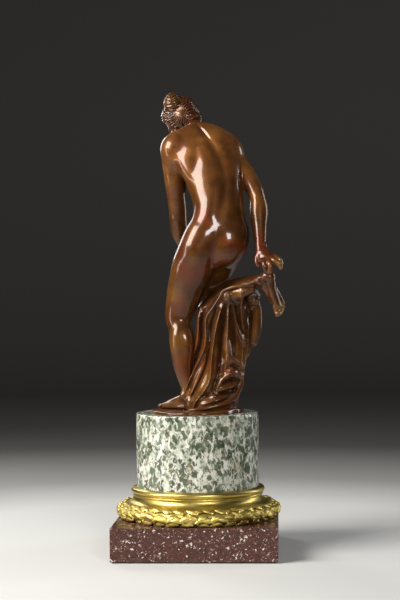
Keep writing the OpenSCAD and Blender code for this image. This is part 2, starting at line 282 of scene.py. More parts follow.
def nets(v, g):
    """Surface nets: one vertex per crossed cell, drawn onto the zero level."""
    ins = v < 0
    c = ins[:-1, :-1, :-1].astype(np.uint8)
    for dx in (0, 1):
        for dy in (0, 1):
            for dz in (0, 1):
                if dx or dy or dz:
                    c = c + ins[dx:ins.shape[0] - 1 + dx, dy:ins.shape[1] - 1 + dy, dz:ins.shape[2] - 1 + dz]
    act = (c > 0) & (c < 8)
    ix, iy, iz = np.nonzero(act)
    acc = np.zeros((len(ix), 3), np.float64)
    cnt = np.zeros(len(ix))
    corners = [(a, b, d) for a in (0, 1) for b in (0, 1) for d in (0, 1)]
    vals = {q: v[ix + q[0], iy + q[1], iz + q[2]] for q in corners}
    for q in corners:
        for a in range(3):
            if q[a] == 0:
                r = list(q)
                r[a] = 1
                va, vb = vals[q], vals[tuple(r)]
                cross = (va < 0) != (vb < 0)
                t = np.where(cross, va / np.where(cross, va - vb, 1), 0)
                p = np.tile(np.array(q, float), (len(ix), 1))
                p[:, a] += t
                acc[cross] += p[cross]
                cnt[cross] += 1
    P = acc / cnt[:, None] + np.stack([ix, iy, iz], 1)
    P = g.lo + P * g.h
    idx = np.full(act.shape, -1, np.int32)
    idx[ix, iy, iz] = np.arange(len(ix), dtype=np.int32)
    quads = []
    for a in range(3):
        b, d = (a + 1) % 3, (a + 2) % 3
        sa = [slice(None)] * 3
        sb = [slice(None)] * 3
        sa[a], sb[a] = slice(0, -1), slice(1, None)
        va, vb = ins[tuple(sa)], ins[tuple(sb)]
        cross = va != vb
        for ax in (b, d):  # the outer cells have no neighbour on one side
            e = [slice(None)] * 3
            e[ax] = 0
            cross[tuple(e)] = False
            e[ax] = -1
            cross[tuple(e)] = False
        p = np.stack(np.nonzero(cross), 1)
        flip = va[cross]
        o = np.zeros(3, int)
        ob, od = o.copy(), o.copy()
        ob[b], od[d] = 1, 1
        q = np.stack([idx[tuple((p - s_).T)] for s_ in (ob + od, od, o, ob)], 1)
        q[~flip] = q[~flip][:, ::-1]
        quads.append(q)
    Q = np.vstack(quads)
    Q = Q[(Q >= 0).all(1)]
    for _ in range(2):
        gr = slope(v, g, P)
        P = P - gr * (sample(v, g, P) / np.maximum((gr ** 2).sum(1), 0.05))[:, None]
    return P, Q


def close_loops(P, Q):
    """Caps each open border of a quad mesh with a fan, so every piece is a closed casting."""
    e = np.vstack([Q[:, [0, 1]], Q[:, [1, 2]], Q[:, [2, 3]], Q[:, [3, 0]]])
    key = np.sort(e, 1)
    _, inv, cnt = np.unique(key, axis=0, return_inverse=True, return_counts=True)
    border = e[cnt[inv.ravel()] == 1]
    nxt = {}
    for a, b in border:
        nxt.setdefault(int(b), []).append(int(a))
    tris, extra = [], []
    while nxt:
        s0 = next(iter(nxt))
        loop, cur = [s0], s0
        while True:
            lst = nxt.get(cur)
            if not lst:
                break
            n_ = lst.pop()
            if not lst:
                del nxt[cur]
            if n_ == s0:
                break
            loop.append(n_)
            cur = n_
        if len(loop) < 3:
            continue
        c = len(P) + len(extra)
        extra.append(P[loop].mean(0))
        tris += [(loop[i], loop[(i + 1) % len(loop)], c) for i in range(len(loop))]
    if extra:
        P = np.vstack([P, np.array(extra)])
    return P, tris


def mesh_object(name, P, faces, normals=None, smooth=True):
    """faces: list of tuples, or an (n, 4) array followed by tuples. P is in mm."""
    me = bpy.data.meshes.new(name)
    me.from_pydata((np.asarray(P) / 1000.0).tolist(), [], [tuple(int(i) for i in f) for f in faces])
    me.polygons.foreach_set("use_smooth", [smooth] * len(me.polygons))
    if normals is not None:
        me.normals_split_custom_set_from_vertices([tuple(n) for n in normals])
    me.update()
    ob = bpy.data.objects.new(name, me)
    bpy.context.scene.collection.objects.link(ob)
    return ob


def piece_from(name, v, g, keep=None, lit=1.0, shift=V(0, 0, 0)):
    """Meshes a field; keep(P) says which vertices belong to the piece."""
    P, Q = nets(v, g)
    ok = np.ones(len(P), bool)
    if keep is not None:
        ok = keep(P)
        Q = Q[ok[Q].any(1)]
    used = np.unique(Q)
    m = np.full(len(P), -1, np.int64)
    m[used] = np.arange(len(used))
    P, Q, ok = P[used], m[Q], ok[used]
    N = slope(v, g, P, lit)
    N /= np.maximum(np.linalg.norm(N, axis=1), 1e-6)[:, None]
    P[~ok] -= 0.16 * N[~ok]          # the lap at a joint tucks in under the neighbour
    P = P + shift
    n0 = len(P)
    P2, tris = close_loops(P, Q) if len(Q) else (P, [])
    me = bpy.data.meshes.new(name)
    faces = Q.tolist() + [list(t) for t in tris]
    me.from_pydata((P2 / 1000.0).tolist(), [], faces)
    flags = np.ones(len(faces), bool)
    flags[len(Q):] = False
    me.polygons.foreach_set("use_smooth", flags.tolist())
    if len(me.polygons) == len(faces):
        NN = np.zeros((len(P2), 3), np.float32)
        NN[:n0] = N
        li = np.empty(len(me.loops), np.int64)
        me.loops.foreach_get("vertex_index", li)
        LN = NN[li]
        cap = sum(len(f) for f in faces[len(Q):])
        if cap:
            LN[-cap:] = 0
        me.normals_split_custom_set(LN.tolist())
    me.update()
    ob = bpy.data.objects.new(name, me)
    bpy.context.scene.collection.objects.link(ob)
    return ob


class Axes:
    """A body frame: R to the figure's right, F forwards, U up."""

    def __init__(self, o, up, fwd):
        self.o = V(*o)
        self.U = unit(up)
        self.R = unit(np.cross(fwd, self.U))
        self.F = np.cross(self.U, self.R)
        self.A = np.array([self.R, self.F, self.U])

    def p(self, r, f, u, rad=None):
        q = self.o + r * self.R + f * self.F + u * self.U
        return q if rad is None else [*q, rad]

    def xyz(self, X, Y, Z):
        x, y, z = X - self.o[0], Y - self.o[1], Z - self.o[2]
        return [a[0] * x + a[1] * y + a[2] * z for a in self.A]


# ------------------------------------------------------------------ the figure (mm)
DECK = 117.4
OFF = V(3.35, 0, 0)      # the figure and its support stand a little right of the drum's axis
PF = Axes((13.5, -11, 266), (0.15, 0.20, 0.96), (-0.3, 0.95, 0))
CF = Axes((12, 5, 324), (-0.36, 0.42, 0.83), (-0.45, 0.89, 0))
HF = Axes((-16.9, 38.5, 374.4), (-0.30, 0.42, 0.86), (-0.35, 0.72, -0.60))
FR = Axes((61, -21, 231), (-0.75, 0.64, -0.11), (0.29, 0.19, -0.94))   # raised foot: U leaves the sole upwards

CUT_SR = (V(31, 15.5, 337), unit((0.45, -0.30, -0.84)))
CUT_SL = (V(-23.6, 12.2, 326), unit((0.04, 0.20, -0.98)))
CUT_NECK = (V(-5, 29, 365.5), unit((-0.62, 0.58, 0.53)))
CUT_HIP = (V(23, 2, 253), unit((-0.30, 0.62, -0.72)))

LEG_L = [(4, -13, 268, 15.5), (-0.8, -10, 256, 16.6), (-6, -5, 241, 17.4), (-11.6, 1, 225, 16.2),
         (-16.2, 4.5, 210, 13.8), (-19.2, 5.5, 199.5, 11.7), (-17.6, 3.2, 191, 10.2), (-16.4, 1, 182, 10.8),
         (-15.7, 0, 171, 10.3), (-15.2, -0.6, 160, 8.9), (-14.0, -1.2, 149, 6.8), (-12.4, -1.8, 140, 5.2),
         (-11.8, -2.2, 131, 4.9)]
LEG_R = [(25.5, -9, 267, 14.5), (22, 2, 253, 14.6), (14, 15, 238.5, 13.2), (7.5, 25, 224, 12.0),
         (2, 31.5, 213.5, 11.0), (9, 24, 212.5, 9.8), (20, 12.5, 217.5, 9.3), (31, 2.5, 224, 8.0),
         (41, -5.5, 227.4, 6.3), (48.5, -11.4, 229.3, 5.0), (53.5, -15.4, 230.3, 4.7)]
ARM_R = [(25, 19, 347, 8.8), (33, 14, 334, 8.3), (41.6, 8, 319.5, 7.8), (47.1, 4, 310, 7.5), (50.3, 1, 300.5, 7.2),
         (51.3, -1.5, 291, 7.2), (51.8, -4.8, 281, 6.8), (52.1, -8.3, 270, 5.8), (52.5, -11.6, 260, 4.8), (52.8, -12.8, 256, 4.5)]
ARM_L = [(-22.5, 9, 344, 9.6), (-23.4, 11.4, 331, 8.8), (-21.4, 16.5, 312, 8.2), (-19.8, 22.0, 294, 8.2),
         (-19.4, 26.2, 282, 8.0), (-17.4, 31, 270.5, 7.0), (-13.0, 37.6, 257.5, 5.5), (-10.8, 41.8, 248.5, 4.5)]


def mid_y(Z):
    return np.interp(Z, [236, 262, 293, 320, 344, 366], [-14, -11, -6, 3, 13, 20])


def torso(b):
    b.chain([PF.p(1, 1, -6, 20.0), (14.8, -10.5, 266, 22.3), (17, -9.3, 276, 23.6), (17.4, -6.2, 293, 22.2),
             (15.4, -2, 306, 22.9), (12.4, 4, 319, 24.4), (8.4, 10.0, 332, 24.6), (4.5, 15, 343, 22), (2.5, 19, 352, 16)],
            k=0, w=unit((-0.35, 0.93, 0.05)), s=1.42)
    # the bowed shoulders, as one dome
    b.chain([(-20.6, 9.5, 346, 10.6), (-10, 13, 352.6, 12.4), (4, 16, 355.0, 12.2), (15, 16.6, 352.6, 11.8), (24.5, 17, 347.5, 9.8)], k=6)
    b.ell((6, 6, 343), (21, 10.5, 15), Axes((0, 0, 0), (-0.30, 0.42, 0.85), (-0.3, 0.9, 0)).A, k=8)
    # buttocks, hips and belly
    b.ell((-0.5, -16.8, 257), (14.4, 13.0, 17), PF.A, k=9)
    b.ell((24.4, -15.0, 259), (13.2, 11.6, 15.0), PF.A, k=10)
    b.ell((29.6, -9.5, 265), (9.6, 11, 14), PF.A, k=9)
    b.ell(PF.p(-1, 9.5, 6), (15, 10, 17), PF.A, k=9)
    b.ell(PF.p(-3, 9.5, 24), (14, 8.5, 16), PF.A, k=9)
    # ribs, chest and breasts
    b.ell(CF.p(0, 7, -8), (19, 12.5, 17), CF.A, k=8)
    b.ell(CF.p(-11.3, 17.3, -2.5), (8.3, 8.0, 8.6), CF.A, k=4)
    b.ell(CF.p(10.2, 17.3, -1.0), (8.3, 8.0, 8.6), CF.A, k=4)
    for s_ in (-11.8, 10.8):
        b.ell(CF.p(s_, 25.6, -4.2 if s_ < 0 else -2.7), (1.5, 1.2, 1.5), CF.A, k=1.2)
    # shoulder blades and the girdle
    b.ell((-12.8, 4.0, 341), (12.5, 7.4, 15), Axes((0, 0, 0), (-0.30, 0.38, 0.87), (-0.1, 1, 0)).A, k=8)
    b.ell((-7.5, -3.6, 326), (7, 5.0, 11), Axes((0, 0, 0), (-0.42, 0.34, 0.85), (-0.2, 1, 0)).A, k=8)
    b.ell((22.0, 8.0, 343), (10.5, 7.6, 14), Axes((0, 0, 0), (-0.30, 0.42, 0.85), (-0.35, 0.9, 0)).A, k=8)
    b.ell((27.0, 2.8, 328), (6.5, 5.6, 11), Axes((0, 0, 0), (-0.25, 0.42, 0.87), (-0.45, 0.9, 0)).A, k=8)
    b.chain([(-20, 17, 338, 6), (-10, 26, 343, 5.5), (1, 31, 345, 5), (12, 30, 344, 5.5), (24, 25, 340, 6)], k=7)
    # the back: soft channels and the long muscles beside them
    spine = [(-2.6, 366, 0.8), (4.3, 358, 1.8), (11.1, 347, 2.3), (16.3, 338, 2.1), (20.4, 327, 1.6), (23.0, 316, 1.5),
             (23.2, 307, 1.4), (22.3, 299, 1.3), (20.4, 290, 1.1), (18.2, 282, 0.6)]
    b.relief(spine, 2.0, mid_y)
    b.relief([(x, z, d * 0.55) for x, z, d in spine], 7.5, mid_y)
    b.relief([(x - 8.5 - (1.5 if z < 300 else 0), z - 3, -0.8 * min(1, d)) for x, z, d in spine[2:]], 5.0, mid_y)
    b.relief([(x + 7.5, z + 3, -0.7 * min(1, d)) for x, z, d in spine[2:]], 4.2, mid_y)
    b.relief([(-1.5, 351, 0.3), (-1.0, 340, 0.9), (-1.8, 329, 0.9), (-6, 318, 0.5)], 3.4, mid_y)
    b.relief([(22.5, 352, 0.3), (27.5, 341, 0.8), (31.0, 330, 0.7), (33.5, 321, 0.4)], 3.0, mid_y)
    b.relief([(-12, 318, 0.2), (-9.5, 308, 0.8), (-5.5, 297, 0.9), (-2, 288, 0.4)], 4.0, mid_y)
    b.relief([(8.6, 279, 0.5), (9.8, 277, 0.7)], 2.2, mid_y)
    b.relief([(26.0, 278, 0.5), (26.4, 277, 0.6)], 2.2, mid_y)
    b.relief([(18.0, 276, 0.2), (16.4, 270, 0.9), (14.6, 262, 1.8), (12.9, 253, 2.6), (11.2, 245, 3.2), (10, 238, 3.0)], 2.4, mid_y)
    b.relief([(18.0, 276, 0.2), (14.6, 262, 0.9), (12.9, 253, 1.2), (10, 238, 1.0)], 7.0, mid_y)
    # navel and belly line
    b.ell(PF.p(-3.2, 20.6, 17), (0.9, 1.6, 1.3), PF.A, k=1.4, how="cut")
    b.crease([PF.p(-3.2, 20.2, 22, 0.5), CF.p(-1, 20.4, -16, 0.9), CF.p(-0.5, 20.5, -6, 0.9)], 3.0)


def toes(f, base, fwd, side, up, rise=0.0):
    """Five toes from the ball; side points to the little toe."""
    offs = (-4.6, -1.9, 0.3, 2.4, 4.3)
    reach = (8.8, 8.9, 8.0, 6.8, 5.2)
    rad = (2.35, 1.6, 1.5, 1.45, 1.4)
    for o, l, r in zip(offs, reach, rad):
        a = base + side * o * 0.95
        m_ = a + fwd * l * 0.55 + up * (0.7 + rise)
        t = a + side * 0.15 * o + fwd * (l - r) + up * (-0.5 + rise * 0.4)
        f.chain([[*a, r * 1.05], [*m_, r * 0.92], [*t, r]], k=0.8, m=2.5, n=4)
        f.ell(t + fwd * r * 0.45 + up * r * 0.78, (r * 0.62, r * 0.55, r * 0.32), np.array([side, fwd, up]), k=0.3, m=1.5)


def standing_leg(b):
    b.chain(LEG_L, k=5)
    fd, sd = unit((-0.79, 0.61, 0)), unit((-0.61, -0.79, 0))
    up = V(0, 0, 1)
    # thigh, knee, calf
    b.ell((-7.5, -9, 242), (14.5, 11.5, 23), Axes((0, 0, 0), (0.25, -0.25, 0.93), (-0.5, 0.8, 0)).A, k=6)
    b.ell((-21.5, 12.2, 200), (5.2, 4.6, 6.2), None, k=4)
    b.chain([(-22.5, 2.5, 209, 1.8), (-23.6, 1.6, 200, 1.7), (-22, -2, 190, 1.6)], k=4)
    b.ell((-12.6, -3.4, 177.5), (6.6, 6.4, 13), Axes((0, 0, 0), (-0.05, 0.06, 1), fd).A, k=4)
    b.ell((-18.4, -4.2, 179), (6.2, 5.8, 12.5), Axes((0, 0, 0), (0.03, 0.06, 1), fd).A, k=4)
    b.crease([(-15.3, -11.0, 192, 0.3), (-15.3, -11.6, 182, 0.8), (-15.0, -10.6, 170, 0.8), (-14.4, -8.6, 160, 0.3)], 2.6)
    b.crease([(-19.5, -7.5, 203, 0.9), (-17.0, -8.6, 199, 1.1), (-13.8, -8.0, 201, 0.9)], 2.6)
    b.crease([(-22.4, -7.0, 214, 0.2), (-21.8, -8.2, 205, 0.7), (-20.6, -8.6, 197, 0.7)], 2.4)
    b.crease([(-11.4, -8.4, 214, 0.2), (-11.6, -8.6, 205, 0.7), (-12.6, -8.8, 197, 0.6)], 2.4)
    b.chain([(-12.8, -5.6, 164, 3), (-11.0, -6.6, 150, 2.3), (-9.0, -7.0, 137, 2.2), (-8.2, -7.2, 128, 3)], k=3)
    b.ell((-15.6, -5.2, 132.4), (2.2, 2.2, 2.6), None, k=2.2)
    b.ell((-8.2, 2.2, 133.6), (2.2, 2.2, 2.6), None, k=2.2)
    b.ell((-7.4, -6.3, 125.6), (5.4, 4.8, 5.2), np.array([fd, sd, up]), k=3)
    # instep and sole
    b.chain([(-11.6, -1.6, 130.5, 5.0), (-16.6, 3.4, 127.8, 4.8), (-24.4, 9.4, 124.8, 4.1), (-30.8, 14.0, 122.9, 3.0)], k=3)
    b.chain([[*(V(-8, -6, 123.4)), 4.0], [*(V(-17, 1.2, 122.6) + sd * 2.2), 3.2], [*(V(-29.8, 12.4, 122.2) + sd * 2.6), 3.0]], k=2.5)
    b.chain([[*(V(-9, -5.2, 124)), 3.6], [*(V(-17.5, 3, 124.2) - sd * 2.4), 3.0], [*(V(-30.3, 13.0, 122.8) - sd * 3.4), 3.4]], k=2.5)
    toes(b, V(-30.6, 13.6, 122.6), fd, sd, up)
    b.plane((0, 0, DECK + 3.1), (0, 0, -1), k=0.6, lo=(-50, -30, 112), hi=(10, 40, 126))


def raised_leg(b):
    b.chain(LEG_R, k=0)
    b.ell((12, 20, 233), (11.5, 9.5, 19), Axes((0, 0, 0), (0.30, -0.50, 0.72), (0.5, 0.8, 0.3)).A, k=6)
    b.ell((0.5, 36, 214.5), (6.0, 5.2, 6.6), None, k=4)
    b.ell((17, 11.0, 215.5), (13, 7.2, 8.6), Axes((0, 0, 0), (0.1, 0.2, 1), (0.66, -0.62, 0.2)).A[[1, 0, 2]], k=4)
    b.chain([(33, -3, 221.5, 4.2), (42, -10.6, 226, 3), (50, -17.6, 230, 2.6), (56.5, -21, 233, 3.4)], k=3)
    # ankle, heel, foot
    b.ell((52.6, -19.4, 227.6), (2.3, 2.3, 2.3), None, k=2)
    b.ell((56.0, -11.8, 231.4), (2.3, 2.3, 2.3), None, k=2)
    b.ell((59.4, -20.6, 232.6), (4.9, 4.5, 5.4), FR.A, k=3)
    w = FR.R  # across the foot
    b.chain([(53.5, -15.6, 229.6, 4.8), (57.2, -15.6, 223.5, 4.7), (62.2, -14.8, 215.6, 4.2), (66.2, -14.1, 209, 3.3)], k=3)
    b.chain([[59.8, -20.6, 232, 4.2], [*(V(63.6, -18.4, 221) - w * 2.2), 3.3], [*(V(68.0, -15.6, 209) - w * 2.8), 3.1]], k=2.5)
    b.chain([[59.8, -20.6, 232, 3.8], [*(V(62.6, -17.8, 221.5) + w * 2.4), 3.0], [*(V(67.8, -15.4, 209.4) + w * 3.2), 3.2]], k=2.5)
    toes(b, V(67.4, -15.0, 209.0), FR.F, FR.R * (1 if FR.R[0] > 0 else -1), FR.U, rise=0.3)


def finger(b, pts, r0, r1, k=0.7):
    n_ = len(pts)
    b.chain([[*p, r0 + (r1 - r0) * i / (n_ - 1)] for i, p in enumerate(pts)], k=k, m=2.5, n=5)
    d = unit(np.array(pts[-1]) - np.array(pts[-2]))
    return d


def right_arm(b):
    b.chain(ARM_R, k=0)
    b.ell((28.2, 17.5, 343), (9.0, 8.8, 13), Axes((0, 0, 0), (-0.50, 0.32, 0.80), (-0.4, 0.9, 0)).A, k=4)
    b.ell((40.4, 8.2, 323), (6.4, 6.8, 14), Axes((0, 0, 0), (-0.50, 0.34, 0.79), (-0.4, 0.9, 0)).A, k=4)
    b.ell((49.8, -3.2, 299.5), (3.4, 3.2, 3.8), None, k=3)
    b.ell((50.8, -3.6, 287), (6.2, 5.6, 12), None, k=4)
    b.ell((53.6, -0.6, 288.5), (5.2, 5.4, 11), None, k=4)
    b.ell((56.2, -14.2, 259.5), (1.7, 1.7, 2.0), None, k=2)
    # the hand closes over the heel: back of the hand towards the back of the figure
    n_ = unit((-0.30, -0.80, 0.52))
    b.chain([(52.6, -12.4, 258, 4.6), (53.2, -14.2, 254.4, 4.9)], k=2, w=unit((-0.35, 0.93, 0.1)), s=1.25)
    b.chain([(53.4, -14.6, 254.6, 4.8), (55.6, -17.6, 250.8, 6.2), (58.0, -19.8, 247.6, 6.0)], k=2.5, w=n_, s=1.75)
    finger(b, [(62.0, -18.0, 250.0), (65.8, -19.6, 248.8), (68.6, -20.2, 246.4), (69.9, -19.6, 243.6)], 2.75, 2.05, 1.1)
    finger(b, [(60.8, -20.6, 247.4), (64.8, -23.4, 245.6), (68.2, -24.2, 243.0), (69.3, -22.8, 240.3)], 2.8, 2.05, 1.1)
    finger(b, [(58.4, -22.0, 245.8), (60.4, -26.0, 243.2), (61.0, -27.0, 239.6), (60.0, -26.0, 236.0)], 2.7, 2.0, 1.1)
    finger(b, [(55.0, -21.4, 246.2), (55.6, -25.2, 243.4), (56.3, -26.2, 240.0), (56.9, -25.0, 236.8)], 2.5, 1.8, 1.1)
    finger(b, [(51.4, -14.8, 252.6), (49.6, -16.2, 248.8), (49.6, -17.8, 245.2), (51.0, -19.0, 242.0)], 2.9, 2.0, 1.1)


def left_arm(b):
    b.chain(ARM_L, k=0)
    b.ell((-21.8, 9.4, 343.0), (9.8, 9.8, 14.2), Axes((0, 0, 0), (-0.05, 0.12, 0.99), (-0.2, 1, 0)).A, k=4)
    b.ell((-21.6, 15.2, 316), (7.4, 7.6, 14), Axes((0, 0, 0), (-0.06, -0.24, 0.97), (-0.2, 1, 0)).A, k=4)
    b.ell((-20.5, 20.6, 284.5), (4.0, 3.6, 4.6), None, k=3)
    b.ell((-19.6, 28.4, 274.5), (6.2, 6.6, 11.4), Axes((0, 0, 0), (-0.15, -0.35, 0.92), (-0.2, 1, 0)).A, k=4)
    b.ell((-12.6, 39.4, 250.2), (1.8, 1.8, 2.0), None, k=2)
    d, n_, w = unit((0.55, -0.10, -0.83)), unit((-0.20, 0.60, 0.78)), None
    w = unit(np.cross(d, n_))
    n_ = np.cross(w, d)
    o = V(-8.2, 42.4, 242.8)
    b.chain([(-10.9, 41.4, 248.8, 4.6), [*o, 5.0]], k=2, w=n_, s=1.3)
    b.chain([[*o, 4.6], [*(o + d * 5), 5.6], [*(o + d * 9.5), 5.3]], k=2.5, w=n_, s=1.8)
    for i, (s_, l) in enumerate(((4.6, 12.4), (1.7, 13.6), (-1.2, 12.8), (-3.9, 10.4))):
        a = o + d * 10.6 + w * s_
        finger(b, [a, a + d * l * 0.42 + w * s_ * 0.12 - n_ * 0.2, a + d * l * 0.76 + w * s_ * 0.2 - n_ * 2.0,
                   a + d * l * 0.95 + w * s_ * 0.22 - n_ * 3.8], 2.1 if i < 3 else 1.9, 1.5)
    a = o + w * 3.8 + d * 0.5
    finger(b, [a, a + w * 4.0 + d * 3.6 - n_ * 0.4, a + w * 5.6 + d * 8.0 - n_ * 1.6, a + w * 5.8 + d * 11.6 - n_ * 3.2], 2.4, 1.7)


def face_and_neck(b):
    b.chain([(2.5, 19.5, 355, 11), (-2.5, 25.5, 361, 9.4), (-8, 31.5, 366, 8.6), (-12.4, 35.5, 369.4, 8.8)], k=0)
    A = HF.A
    b.ell(HF.p(0, -1.8, 4.2), (12.6, 15.6, 13.0), A, k=4)
    b.ell(HF.p(0, 5.6, -3.4), (10.6, 9.6, 13.2), A, k=4)
    b.ell(HF.p(0, 9.6, -12.6), (5.6, 4.9, 4.8), A, k=4)
    b.ell(HF.p(0, 12.9, -14.6), (2.9, 2.2, 2.3), A, k=2.5)
    for s_ in (-1, 1):
        b.ell(HF.p(s_ * 5.9, 10.4, -3.6), (3.6, 3.4, 3.4), A, k=3)
        b.ell(HF.p(s_ * 7.6, 4.6, -11.0), (2.6, 4.6, 2.8), A, k=3)
        b.ell(HF.p(s_ * 4.5, 14.6, 3.3), (3.6, 1.5, 1.1), A, k=1.8)
        b.ell(HF.p(s_ * 4.5, 15.6, 0.7), (2.7, 1.7, 1.8), A, k=1.6, how="cut")
        b.ell(HF.p(s_ * 4.4, 12.9, 0.6), (2.35, 1.9, 1.75), A, k=0.5)
        b.chain([HF.p(s_ * 2.2, 14.3, 0.5, 0.42), HF.p(s_ * 3.8, 15.0, 1.75, 0.46), HF.p(s_ * 5.6, 14.3, 1.45, 0.44),
                 HF.p(s_ * 6.8, 12.9, 0.4, 0.36)], k=0.5, m=2)
        b.chain([HF.p(s_ * 2.4, 14.1, 0.1, 0.36), HF.p(s_ * 4.2, 14.6, -0.9, 0.4), HF.p(s_ * 6.4, 13.0, -0.2, 0.34)], k=0.5, m=2)
        b.ell(HF.p(s_ * 1.35, 16.2, -5.6), (0.95, 1.15, 0.9), A, k=0.8)
        b.ell(HF.p(s_ * 0.9, 16.4, -6.5), (0.35, 0.5, 0.35), A, k=0.3, how="cut")
        b.ell(HF.p(s_ * 12.3, -0.6, -1.2), (1.3, 2.3, 3.6), A, k=1.2)
        b.ell(HF.p(s_ * 13.4, -0.2, -0.8), (0.8, 1.3, 2.2), A, k=0.6, how="cut")
    b.chain([HF.p(0, 14.0, 2.2, 1.15), HF.p(0, 15.9, -1.6, 1.1), HF.p(0, 17.5, -4.9, 1.45)], k=1.6)
    b.chain([HF.p(0, 15.0, -7.2, 0.9), HF.p(0, 15.0, -8.2, 0.9)], k=1.2)
    b.chain([HF.p(-3.3, 13.6, -9.6, 0.45), HF.p(-1.3, 15.2, -9.0, 0.75), HF.p(0, 15.3, -9.2, 0.65), HF.p(1.3, 15.2, -9.0, 0.75),
             HF.p(3.3, 13.6, -9.6, 0.45)], k=0.9, m=2)
    b.chain([HF.p(-2.9, 13.6, -10.2, 0.45), HF.p(0, 15.1, -10.7, 0.95), HF.p(2.9, 13.6, -10.2, 0.45)], k=0.9, m=2)
    b.chain([HF.p(-3.4, 14.4, -9.75, 0.22), HF.p(0, 16.0, -9.85, 0.26), HF.p(3.4, 14.4, -9.75, 0.22)], k=0.5, how="cut", m=2)
    b.chain([HF.p(-2.0, 14.6, -12.4, 0.5), HF.p(2.0, 14.6, -12.4, 0.5)], k=1.5, how="cut", m=2)


KNOT = V(-17.4, 21.5, 379.0)
BUN = Axes((-23.2, 27.5, 386.6), (-0.55, -0.35, 0.76), (0.3, -0.9, 0))


def hair(b):
    A = HF.A
    b.ell(HF.p(0, -2.6, 4.8), (15.0, 17.0, 14.6), A, k=0)
    b.ell(HF.p(0, -6.5, -5.0), (13.4, 12.0, 9.0), A, k=4)
    b.ell((-26.4, 32.0, 365.4), (7.6, 8.2, 7.6), None, k=3)
    b.ell((-29.0, 34.0, 376.4), (5.6, 8.6, 7.6), None, k=3)
    b.ell((-8.0, 29.0, 372.4), (8.4, 8.0, 7.0), None, k=3)
    b.ell((-3.2, 31.5, 373.0), (4.4, 6.5, 4.8), None, k=3)
    b.ell((-13.0, 27.0, 381.5), (8, 7, 7.5), None, k=3)
    # the front stays open for the face
    n_ = unit(HF.F * 0.86 - HF.U * 0.50)
    b.plane(HF.p(0, 5.2, 4.8), n_, k=1.2)
    for s_ in (-1, 1):  # rolls swept back over the temples
        b.chain([HF.p(0.6 * s_, 11.6, 12.4, 2.4), HF.p(6.5 * s_, 10.4, 9.8, 3.0), HF.p(11.0 * s_, 5.6, 4.6, 3.2), HF.p(13.2 * s_, -1.0, 1.0, 3.2),
                 HF.p(11.8 * s_, -8.0, -1.5, 3.2), HF.p(6 * s_, -13.5, 0, 3)], k=1.6)
    # gathered bun and tie
    b.ell(BUN.o, (8.2, 8.0, 9.0), BUN.A, k=1.6)
    b.ell((-24.0, 30, 392.4), (5.4, 5.2, 4.8), None, k=2.5)
    b.ell(KNOT + V(0, 2.6, -0.6), (3.6, 3.0, 3.2), None, k=1.0)
    bd = unit(HF.p(0, 1, 0) - HF.o) * -1

    def strands(X, Y, Z, v):
        x, y, z = X - KNOT[0], Y - KNOT[1], Z - KNOT[2]
        rho = np.sqrt(x * x + 0.55 * y * y + z * z) + 1e-3
        phi = np.arctan2(z + 0 * x, x + 0 * z)
        a1 = np.sin(11 * phi + 1.6 * np.sin(0.42 * rho + 2 * phi) + 0.22 * y)
        a2 = np.sin(23 * phi + 2.2 * np.sin(0.33 * rho - 1.5 * phi) + 0.35 * y)
        bx, by, bz = BUN.xyz(X, Y, Z)
        br = np.sqrt(bx * bx + by * by + bz * bz) + 1e-3
        inb = step(10.6, 8.6, br)
        th = np.arctan2(by, bx)
        b1 = np.sin(3 * th + 1.15 * bz + 0.9 * np.sin(0.7 * bz))
        b2 = np.sin(5 * th + 2.3 * bz)
        w = step(2.0, 6.0, rho)
        d = w * (0.52 * (1 - np.abs(a1)) + 0.30 * (1 - np.abs(a2)) - 0.35)
        d2 = 0.62 * (1 - np.abs(b1)) + 0.28 * (1 - np.abs(b2)) - 0.35
        near = step(3.0, 0.8, np.abs(v))
        return near * (d * (1 - inb) + d2 * inb)

    b.bump((-42, 10, 353), (8, 62, 402), strands)
    b.chain([[*(KNOT + V(-3.6, 2.0, 2.2)), 1.2], [*(KNOT + V(0, 0.4, 0.4)), 1.5], [*(KNOT + V(3.8, 2.0, -2.0)), 1.2]], k=0.6, m=2)


def soften(f, g, sigma):
    """A soft blur of a distance field, sigma in mm, so that joined tubes leave no facets."""
    v = np.clip(f, -5, 5).astype(np.float32)
    h = float(g.ax[0][1] - g.ax[0][0])
    n_ = int(math.ceil(2.6 * sigma / h))
    q = np.exp(-0.5 * (np.arange(-n_, n_ + 1) * h / sigma) ** 2)
    q = (q / q.sum()).astype(np.float32)
    for a in range(3):
        pad = [(0, 0)] * 3
        pad[a] = (n_, n_)
        e = np.pad(v, pad, mode="edge")
        out = np.zeros_like(v)
        for i, c in enumerate(q):
            sl = [slice(None)] * 3
            sl[a] = slice(i, i + v.shape[a])
            out += c * e[tuple(sl)]
        v = out
    return v


